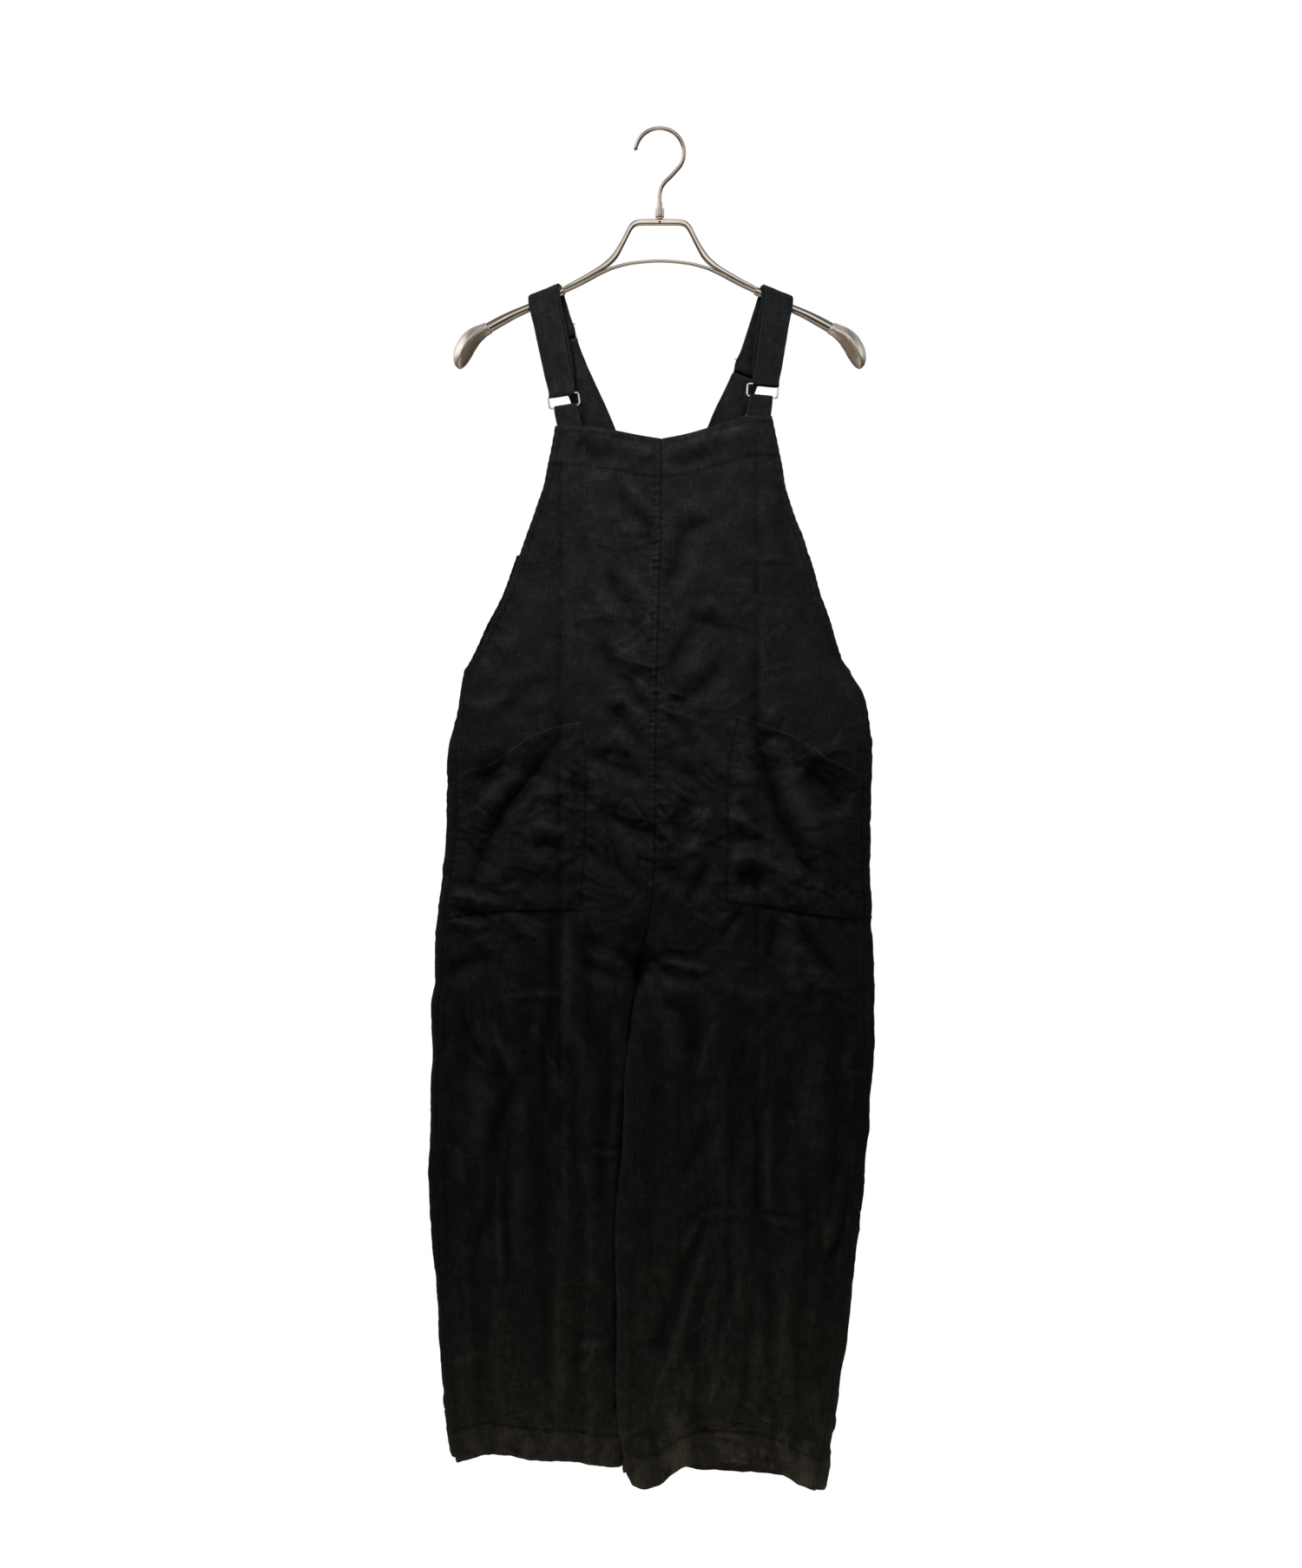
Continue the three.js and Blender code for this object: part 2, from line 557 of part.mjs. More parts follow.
// One strap, as a single ribbon: from inside the back up through its slider, over the hanger's
// arm, down the front, round the ring and back the same way underneath, to the slider's bar.
function strap(side) {
  const rig = strapRig[side];
  const sign = SIDES[side];
  const frontTilt = -sign * radians(lean.front);
  const topTilt = -sign * radians(lean.top);
  const backTilt = -sign * radians(lean.back);
  const ringTilt = radians(rig.ring.tilt);
  const backX = (z) => tableAt(rig.back, 'z', z, 'x');
  const frontX = (z) => tableAt(rig.front, 'z', z, 'x');
  const armX = mix(frontX(rig.armZ), backX(rig.armZ), 0.5);
  const barZ = rig.ring.z + (ringLine.high / 2) * Math.cos(ringTilt);
  const barX = rig.ring.x - (ringLine.high / 2) * Math.sin(ringTilt);
  const pitch = (sliderPlate.high - sliderPlate.bar) / 2; // between the slider's bars
  const behindPlate = sliderY - sliderPlate.thick / 2 - seamGap - ribbonWall / 2;
  const station = (x, y, z, tilt) => ({ at: new THREE.Vector3(x, y, z), tilt, wide: strapWidth });
  // Turn of the width over the arm: from the back's lean to the top's, and on to the front's.
  const leanOver = (across) => (across < 0.5
    ? mix(backTilt, topTilt, smooth(across * 2))
    : mix(topTilt, frontTilt, smooth(across * 2 - 1)));

  const up = [
    { z: strapEnd, y: strapFoot },
    { z: -420, y: strapFoot },
    { z: -385, y: 7 },
    { z: -340, y: 5 },
    { z: -300, y: 3 },
    { z: rig.slider - pitch - 6, y: behindPlate },
    { z: rig.slider - pitch + 2, y: behindPlate },
    { z: rig.slider - 1, y: overTurn + 0.4 },
    { z: rig.slider + 5, y: overTurn + 0.3 },
    { z: rig.slider + pitch + 6, y: overTurn },
  ].map(({ z, y }) => station(backX(z), y, z, backTilt));
  const over = halfTurn(armX, 0, rig.armZ, overTurn, 0, Math.PI, 8, topTilt, strapWidth);
  over.forEach((place, k) => {
    const across = k / (over.length - 1);
    place.at.x = mix(backX(rig.armZ), frontX(rig.armZ), across);
    place.tilt = leanOver(across);
  });
  const hanging = (part, armY, ringY, shift) => {
    const z = mix(rig.armZ, barZ, part);
    const y = mix(armY, ringY, smooth(part));
    return station(frontX(z) + shift, y, z, mix(frontTilt, ringTilt, smooth(part)));
  };
  const down = [0.3, 0.55, 0.8].map((part) => hanging(part, -overTurn, ringPlane - turnRadius, 0));
  const round = halfTurn(barX, ringPlane, barZ, turnRadius, -Math.PI, 0, 6, ringTilt, ringSqueeze);
  const frontUnder = [0.8, 0.55, 0.3].map((part) => {
    const shift = -sign * peek * smooth((1 - part) * 3);
    return hanging(part, -underTurn, ringPlane + turnRadius, shift);
  });
  const under = halfTurn(armX, 0, rig.armZ, underTurn, Math.PI, 0, 8, topTilt, strapWidth);
  under.forEach((place, k) => {
    const across = 1 - k / (under.length - 1);
    place.at.x = mix(backX(rig.armZ), frontX(rig.armZ) - sign * peek, across);
    place.tilt = leanOver(across);
  });
  const backZ = rig.slider + pitch + 4;
  const backUnder = station(backX(backZ), underTurn, backZ, backTilt);
  const loopTurn = underTurn - sliderY;
  const loopX = backX(rig.slider);
  const loop = halfTurn(loopX, sliderY, rig.slider, loopTurn, 0, -Math.PI, 6, backTilt, strapWidth);
  const tuckZ = rig.slider + 17;
  const tuck = station(backX(tuckZ), behindPlate, tuckZ, backTilt);
  const front = [...down, ...round, ...frontUnder];
  return ribbon([...up, ...over, ...front, ...under, backUnder, ...loop, tuck], ribbonWall);
}

// A bib tab: sewn behind the bib, up round the ring's lower bar, and down again in front.
function tab(side) {
  const { ring, tab: line } = strapRig[side];
  const tilt = radians(ring.tilt);
  const barZ = ring.z - (ringLine.high / 2) * Math.cos(tilt);
  const barX = ring.x + (ringLine.high / 2) * Math.sin(tilt);
  const lineX = (z) => tableAt(line, 'z', z, 'x');
  const turnX = mix(lineX(barZ), barX, 0.5);
  const foot = line[line.length - 1].z;
  const run = (y) => [0, 0.3, 0.62].map((part) => {
    const z = mix(foot, barZ, part);
    return { at: new THREE.Vector3(lineX(z), y, z), tilt, wide: tabWidth };
  });
  const round = halfTurn(turnX, ringPlane, barZ, turnRadius, 0, Math.PI, 6, tilt, tabTurnWidth);
  const [back, front] = [run(ringPlane + turnRadius), run(ringPlane - turnRadius)];
  return ribbon([...back, ...round, ...front.reverse()], ribbonWall);
}

// ---- Wire rings and sliders ----

// A rectangle of round wire with rounded corners, standing in the XZ plane.
function wireRing() {
  const { wide, high, corner } = ringLine;
  const sides = 8;
  const cornerSteps = 5;
  const line = [];
  [[1, 1, 0], [-1, 1, 90], [-1, -1, 180], [1, -1, 270]].forEach(([sx, sz, from]) => {
    for (let k = 0; k <= cornerSteps; k += 1) {
      const a = radians(from + (90 * k) / cornerSteps);
      const centre = new THREE.Vector3(sx * (wide / 2 - corner), 0, sz * (high / 2 - corner));
      const outward = new THREE.Vector3(Math.cos(a), 0, Math.sin(a));
      line.push({ at: centre.addScaledVector(outward, corner), outward });
    }
  });
  const points = [];
  const quads = [];
  line.forEach(({ at, outward }, i) => {
    for (let j = 0; j < sides; j += 1) {
      const a = (2 * Math.PI * j) / sides;
      const off = outward.clone().multiplyScalar(Math.cos(a)).add(new THREE.Vector3(0, Math.sin(a), 0));
      points.push(at.clone().addScaledVector(off, wireRadius));
      const next = (i + 1) % line.length;
      const turn = (j + 1) % sides;
      quads.push([i * sides + j, next * sides + j, next * sides + turn, i * sides + turn]);
    }
  });
  return facingOut(meshFrom(points, quads));
}

// A flat slider with two slots and a bar between them, standing in the XZ plane.
function sliderFrame() {
  const { wide, high, thick, bar, corner, slotCorner } = sliderPlate;
  const rectangle = (path, x0, z0, x1, z1, r) => {
    path.moveTo(x0 + r, z0);
    path.lineTo(x1 - r, z0);
    path.absarc(x1 - r, z0 + r, r, -Math.PI / 2, 0);
    path.absarc(x1 - r, z1 - r, r, 0, Math.PI / 2);
    path.absarc(x0 + r, z1 - r, r, Math.PI / 2, Math.PI);
    path.absarc(x0 + r, z0 + r, r, Math.PI, 1.5 * Math.PI);
    return path;
  };
  const shape = rectangle(new THREE.Shape(), -wide / 2, -high / 2, wide / 2, high / 2, corner);
  [[-high / 2 + bar, -bar / 2], [bar / 2, high / 2 - bar]].forEach(([z0, z1]) => {
    const [x0, x1] = [-wide / 2 + bar, wide / 2 - bar];
    shape.holes.push(rectangle(new THREE.Path(), x0, z0, x1, z1, slotCorner));
  });
  const options = { depth: thick, bevelEnabled: false, curveSegments: 4 };
  const geometry = new THREE.ExtrudeGeometry(shape, options);
  return geometry.translate(0, 0, -thick / 2).rotateX(Math.PI / 2);
}

// ---- Hanger ----

const planar = (points, sign = 1) => points.map(({ out, z }) => new THREE.Vector3(sign * out, 0, z));

// A round bar along a smooth curve.
function bar(points, radius, steps, sides = 16) {
  const section = new THREE.Shape().absarc(0, 0, radius, 0, 2 * Math.PI);
  const extrudePath = new THREE.CatmullRomCurve3(points, false, 'centripetal');
  const options = { steps, extrudePath, bevelEnabled: false, curveSegments: sides / 2 };
  return new THREE.ExtrudeGeometry(section, options);
}

// Library solid of a closed geometry.
function solid(geometry) {
  const bare = geometry.clone();
  bare.deleteAttribute('normal');
  bare.deleteAttribute('uv');
  const merged = mergeVertices(bare, 1e-4);
  const vertProperties = new Float32Array(merged.getAttribute('position').array);
  const triVerts = new Uint32Array(merged.getIndex().array);
  return new wasm.Manifold(new wasm.Mesh({ numProp: 3, vertProperties, triVerts }));
}

function fromSolid(body) {
  const { vertProperties, triVerts } = body.getMesh();
  const geometry = new THREE.BufferGeometry();
  geometry.setAttribute('position', new THREE.BufferAttribute(vertProperties, 3));
  geometry.setIndex(new THREE.BufferAttribute(triVerts, 1));
  return geometry;
}

// The flat bar of the bridge, with rounded upper corners and a screw hole.
function bridgeBar() {
  const { half, top, high, deep, corner, hole } = bridge;
  const shape = new THREE.Shape();
  shape.moveTo(-half, top - high);
  shape.lineTo(half, top - high);
  shape.absarc(half - corner, top - corner, corner, 0, Math.PI / 2);
  shape.absarc(-half + corner, top - corner, corner, Math.PI / 2, Math.PI);
  shape.holes.push(new THREE.Path().absarc(0, top - high / 2, hole, 0, 2 * Math.PI));
  const options = { depth: deep, bevelEnabled: false, curveSegments: 6 };
  const geometry = new THREE.ExtrudeGeometry(shape, options);
  return geometry.translate(0, 0, -deep / 2).rotateX(Math.PI / 2);
}

// The welded frame: a pressed bridge under the hook, a thin arched rod and two arms.
function hangerFrame() {
  let frame = solid(bridgeBar());
  const legSection = new THREE.Shape();
  legSection.absellipse(0, 0, bridge.leg / 2, bridge.deep / 2, 0, 2 * Math.PI);
  for (const sign of Object.values(SIDES)) {
    const extrudePath = new THREE.CatmullRomCurve3(planar(bridgeLeg, sign), false, 'centripetal');
    const options = { steps: 16, extrudePath, bevelEnabled: false, curveSegments: 7 };
    frame = frame.add(solid(new THREE.ExtrudeGeometry(legSection, options)));
    frame = frame.add(solid(bar(planar(armLine, sign), armRadius, 12, 18)));
  }
  const rod = [...planar(rodArch, -1), ...planar(rodArch.slice(0, -1).reverse())];
  return fromSolid(frame.add(solid(bar(rod, rodRadius, 30, 10))));
}

// A turned collar that the hook's stem passes through.
function hangerFerrule() {
  const profile = ferruleProfile.map(({ radius, z }) => new THREE.Vector2(radius, z));
  return facingOut(welded(new THREE.LatheGeometry(profile, 24).rotateX(Math.PI / 2)));
}

// Position-only copy with shared vertices.
function welded(geometry) {
  geometry.deleteAttribute('normal');
  geometry.deleteAttribute('uv');
  return mergeVertices(geometry, 1e-4);
}

// The wire hook: most of a circle, then a sweep back to the stem.
function hangerHook() {
  const centreZ = hook.wire - hook.turn;
  const arcSteps = 12;
  const points = Array.from({ length: arcSteps + 1 }, (_, k) => {
    const a = radians(mix(hook.tipAngle, hook.leaveAngle, k / arcSteps));
    return new THREE.Vector3(hook.turn * Math.cos(a), 0, centreZ + hook.turn * Math.sin(a));
  });
  stemLine.forEach(({ x, z }) => points.push(new THREE.Vector3(x, 0, z)));
  return bar(points, hook.wire, 52, 14);
}

// A broad shoulder cap, lofted through elliptical rings and closed at both ends.
function hangerCap(sign) {
  const sides = 20;
  const points = [];
  const quads = [];
  capRings.forEach(({ out, z, high, wide }, i) => {
    const before = capRings[Math.max(0, i - 1)];
    const after = capRings[Math.min(capRings.length - 1, i + 1)];
    const along = new THREE.Vector2(after.out - before.out, after.z - before.z).normalize();
    for (let j = 0; j < sides; j += 1) {
      const a = (2 * Math.PI * j) / sides;
      const rise = high * Math.cos(a);
      points.push(new THREE.Vector3(sign * (out - along.y * rise), wide * Math.sin(a), z + along.x * rise));
      const turn = (j + 1) % sides;
      if (i > 0) quads.push([(i - 1) * sides + j, i * sides + j, i * sides + turn, (i - 1) * sides + turn]);
    }
  });
  const last = capRings.length - 1;
  const start = points.push(new THREE.Vector3(sign * capRings[0].out, 0, capRings[0].z)) - 1;
  const tip = points.push(new THREE.Vector3(sign * capRings[last].out, 0, capRings[last].z - 1)) - 1;
  for (let j = 0; j < sides; j += 1) {
    const turn = (j + 1) % sides;
    quads.push([start, j, turn, turn]);
    quads.push([tip, last * sides + turn, last * sides + j, last * sides + j]);
  }
  return facingOut(meshFrom(points, quads));
}

// ---- Materials and the object ----

const linen = () => new THREE.MeshStandardMaterial({ color: 0x17181a, roughness: 0.9, metalness: 0 });
const nickel = () => new THREE.MeshStandardMaterial({ color: 0xc9c6c0, roughness: 0.25, metalness: 1 });
const satin = () => new THREE.MeshStandardMaterial({ color: 0xa89c8c, roughness: 0.35, metalness: 1 });

const dungarees = new THREE.Group();

function place(name, geometry, material) {
  const mesh = new THREE.Mesh(geometry, material);
  mesh.name = name;
  dungarees.add(mesh);
  return mesh;
}

for (const [side, sign] of Object.entries(SIDES)) {
  for (const { name, from, to } of panelParts) {
    const front = panel(side, 'front', frontLevels, frontSweep, bibTop, frontHem, from, to);
    place(`front_${side}_${name}`, front, linen());
    const back = panel(side, 'back', backLevels, backSweep, backTop, backHem, from, to);
    place(`back_${side}_${name}`, back, linen());
  }
  place(`pocket_${side}`, pocket(side), linen());
  place(`tab_${side}`, tab(side), linen());
  place(`strap_${side}`, strap(side), linen());
  const { ring, slider, back } = strapRig[side];
  const ringMesh = place(`ring_${side}`, wireRing(), nickel());
  ringMesh.position.set(ring.x, ringPlane, ring.z);
  ringMesh.rotation.y = -radians(ring.tilt);
  const sliderMesh = place(`slider_${side}`, sliderFrame(), nickel());
  sliderMesh.position.set(tableAt(back, 'z', slider, 'x'), sliderY, slider);
  sliderMesh.rotation.y = sign * radians(lean.back);
  place(`hanger_cap_${side}`, hangerCap(sign), satin());
}
place('hanger_frame', hangerFrame(), satin());
place('hanger_ferrule', hangerFerrule(), satin());
place('hanger_hook', hangerHook(), satin());

export default dungarees;
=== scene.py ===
# Bib dungarees of charcoal linen on a metal clothes hanger, in metres. +Z is up, the front faces
# -Y, and +X is the right as seen from the front. The origin is the inside top of the hook.
import bpy
import numpy as np
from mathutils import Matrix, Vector


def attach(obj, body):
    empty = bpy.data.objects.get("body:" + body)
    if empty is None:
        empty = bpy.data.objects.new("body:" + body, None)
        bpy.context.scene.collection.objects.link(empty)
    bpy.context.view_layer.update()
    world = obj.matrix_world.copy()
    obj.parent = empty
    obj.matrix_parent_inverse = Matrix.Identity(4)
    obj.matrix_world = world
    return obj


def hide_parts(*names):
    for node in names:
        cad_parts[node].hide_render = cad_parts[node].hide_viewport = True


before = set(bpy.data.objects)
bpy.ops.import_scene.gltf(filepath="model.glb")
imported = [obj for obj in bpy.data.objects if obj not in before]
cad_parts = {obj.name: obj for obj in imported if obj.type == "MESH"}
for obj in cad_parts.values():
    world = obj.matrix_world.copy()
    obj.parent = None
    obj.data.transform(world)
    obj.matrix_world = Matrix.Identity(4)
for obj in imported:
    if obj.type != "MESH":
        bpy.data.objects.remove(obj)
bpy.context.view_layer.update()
print("frame loaded:", len(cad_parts), "nodes")

sideSign = {"right": 1, "left": -1}
faceSign = {"front": -1, "back": 1}


# Tables and smooth steps

def table(names, rows):
    # Named columns of a short table. Lengths are written in millimetres and kept in metres, and
    # shares stay as they are.
    columns = zip(names.split(), np.array(rows, float).T)
    return {name: values if name == "share" else values / 1000 for name, values in columns}


def smooth(t):
    # Cubic step: 3 t squared less 2 t cubed, held at 0 and 1 outside that span.
    t = np.clip(t, 0, 1)
    return t * t * (3 - 2 * t)


def beneath(z, level, over):
    # Zero above a level, rising smoothly to one at a distance below it.
    return smooth((level - z) / over)


def mix(a, b, t):
    # From a to b as t goes from 0 to 1.
    return a + (b - a) * t


def curveAt(rows, along, name, at):
    # A cubic through a table's column that never overshoots: the slope at a row is the harmonic
    # mean of the slopes on its two sides, or zero where they differ in sign.
    x, y = rows[along], rows[name]
    if x[0] > x[-1]:
        x, y = x[::-1], y[::-1]
    step = np.diff(x)
    slope = np.diff(y) / step
    product = slope[:-1] * slope[1:]
    total = np.where(product > 0, slope[:-1] + slope[1:], 1)
    inner = np.where(product > 0, 2 * product / total, 0)
    tangent = np.concatenate([slope[:1], inner, slope[-1:]])
    i = np.clip(np.searchsorted(x, at) - 1, 0, len(step) - 1)
    t = np.clip((at - x[i]) / step[i], 0, 1)
    value = (1 + 2 * t) * (1 - t) ** 2 * y[i] + t * t * (3 - 2 * t) * y[i + 1]
    return value + step[i] * (t * (1 - t) ** 2 * tangent[i] - t * t * (1 - t) * tangent[i + 1])


def softNoise(x, y, seed):
    # A smooth random field from about -1 to 1: gradients drawn on a square lattice of unit pitch,
    # blended between the four corners round each point by a quintic step.
    turn = np.random.default_rng(seed).random((256, 256)) * 2 * np.pi
    i, j = np.floor(x).astype(int), np.floor(y).astype(int)
    fx, fy = x - i, y - j
    sx = fx ** 3 * (fx * (fx * 6 - 15) + 10)
    sy = fy ** 3 * (fy * (fy * 6 - 15) + 10)

    def corner(di, dj):
        angle = turn[(i + di) % 256, (j + dj) % 256]
        return np.cos(angle) * (fx - di) + np.sin(angle) * (fy - dj)

    low = mix(corner(0, 0), corner(1, 0), sx)
    high = mix(corner(0, 1), corner(1, 1), sx)
    return 1.5 * mix(low, high, sy)


def bell(t):
    # One at zero, fading to nothing on both sides: e to the power of minus t squared.
    return np.exp(-t * t)


def unit(vectors):
    # Each vector divided by its length.
    return vectors / np.maximum(np.linalg.norm(vectors, axis=-1, keepdims=True), 1e-12)


def runAlong(points):
    # How far along a line each of its points lies.
    return np.concatenate([[0], np.cumsum(np.linalg.norm(np.diff(points, axis=0), axis=-1))])


def addObject(name, data):
    # An object in the scene's own collection.
    item = bpy.data.objects.new(name, data)
    bpy.context.scene.collection.objects.link(item)
    return item


# The garment's form

garment = {
    "clothThick": 0.0009, "pocketThick": 0.0009, "hemThick": 0.0019,
    "seamGap": 0.0003, "sideSeamTop": -0.558, "seamTurn": 0.3,
    "crotch": -0.846, "forkTop": {"front": -0.777, "back": -0.752},
    "legShift": {"right": -0.012, "left": -0.008}, "legOverlap": 0.0035, "legTouch": 0.0002,
    "legRoll": {"front": {"right": 0.05, "left": 0.09}, "back": {"right": 0.34, "left": 0.34}},
    "rollTop": 0.04, "rollFork": 0.16,
    "legFlat": 0.42, "flatBelow": (-0.718, 0.22), "roundBelow": (-0.47, 0.11),
    "bibLevel": -0.317, "backLevel": -0.426, "hemLevel": -1.37,
    "backEdgeShift": {"right": 0.0025, "left": -0.004},
    # Over what height each of these comes in.
    "topFade": 0.09, "hemFade": 0.08, "closeFade": 0.004, "overlapFade": 0.15, "rollFade": 0.12,
    "shiftFade": 0.06, "legFade": 0.04, "turnFade": 0.1, "bibFade": 0.004,
}

outline = table("z left right", [
    (-290, -105, 113.5), (-304, -106.6, 116.5), (-329, -111, 121.7), (-346, -114.6, 125.2),
    (-364, -118.1, 127.9), (-382, -124.3, 133.2), (-400, -130.5, 139.4), (-417, -136.8, 146.5),
    (-435, -143, 151.8), (-453, -149.2, 157.2), (-471, -155.4, 161.6), (-488, -163.4, 167.8),
    (-506, -173.2, 174), (-524, -182, 179.4), (-542, -191.8, 186.5), (-559, -201.6, 198),
    (-577, -204.2, 208.7), (-595, -206, 213.1), (-613, -209.6, 215.8), (-631, -214, 217.6),
    (-648, -215.8, 216.7), (-702, -215.8, 214), (-737, -218.4, 214.9), (-755, -221.1, 214.9),
    (-790, -226.4, 217.6), (-826, -230, 217.6), (-861, -229.1, 218.4), (-897, -234.4, 218.4),
    (-932, -233.5, 219.3), (-986, -235.3, 215.8), (-1021, -235.3, 214), (-1057, -235.3, 210.5),
    (-1110, -233.5, 206.9), (-1146, -232.7, 203.4), (-1181, -230, 199.8), (-1217, -227.3, 196.2),
    (-1252, -224.7, 190), (-1288, -223.8, 184.7), (-1323, -222, 179.4), (-1341, -219.3, 174.9),
    (-1359, -215.8, 173.2), (-1392, -210, 168),
])

# Centre seam, and below the crotch the line where the legs meet.
centreLine = table("z x", [
    (-290, 2), (-410, 1), (-500, -1), (-560, -3), (-630, -4), (-770, -6), (-806, -11), (-826, -17),
    (-846, -20), (-864, -22), (-888, -27), (-935, -34), (-1039, -39), (-1096, -45), (-1281, -45),
    (-1361, -38), (-1392, -36),
])

# How far the cloth stands off the hanging plane: at its fullest, and at its free edges.
bulge = table("z front frontEdge back backEdge", [
    (-290, 11.5, 11.5, 11, 11), (-330, 12.5, 11.3, 11, 11), (-426, 19, 9.5, 12, 10.5),
    (-500, 26, 5.5, 20, 5.5), (-558, 31, 0, 27, 0), (-640, 37, 0, 35, 0), (-740, 40, 0, 40, 0),
    (-840, 37, 0, 38, 0), (-950, 31, 0, 31, 0), (-1150, 28, 0, 28, 0), (-1400, 27, 0, 27, 0),
])

# Free edges, by share of the way from the centre seam (0) to the side (1).
edges = {
    "bibTop": table("share left right", [
        (0, -317, -317), (0.22, -313, -312), (0.46, -308, -304), (0.66, -305, -297), (0.78, -304, -293),
        (1, -304, -294),
    ]),
    "backTop": table("share left right", [(0, -426, -426), (0.5, -427, -427), (1, -434, -434)]),
    "frontHem": table("share left right", [
        (0, -1360, -1364), (0.05, -1359, -1376), (0.10, -1358, -1380), (0.17, -1357, -1377),
        (0.24, -1355, -1366), (0.29, -1354, -1359), (0.44, -1353, -1355), (0.56, -1351, -1356),
        (0.66, -1348, -1360), (0.76, -1349, -1368), (0.87, -1355, -1381), (0.96, -1360, -1389),
        (1, -1354, -1390),
    ]),
    "backHem": table("share left right", [
        (0, -1362, -1370), (0.25, -1359, -1372), (0.40, -1358, -1376), (0.50, -1358, -1377),
        (0.75, -1357, -1380), (0.90, -1356, -1385), (1, -1354, -1390),
    ]),
}

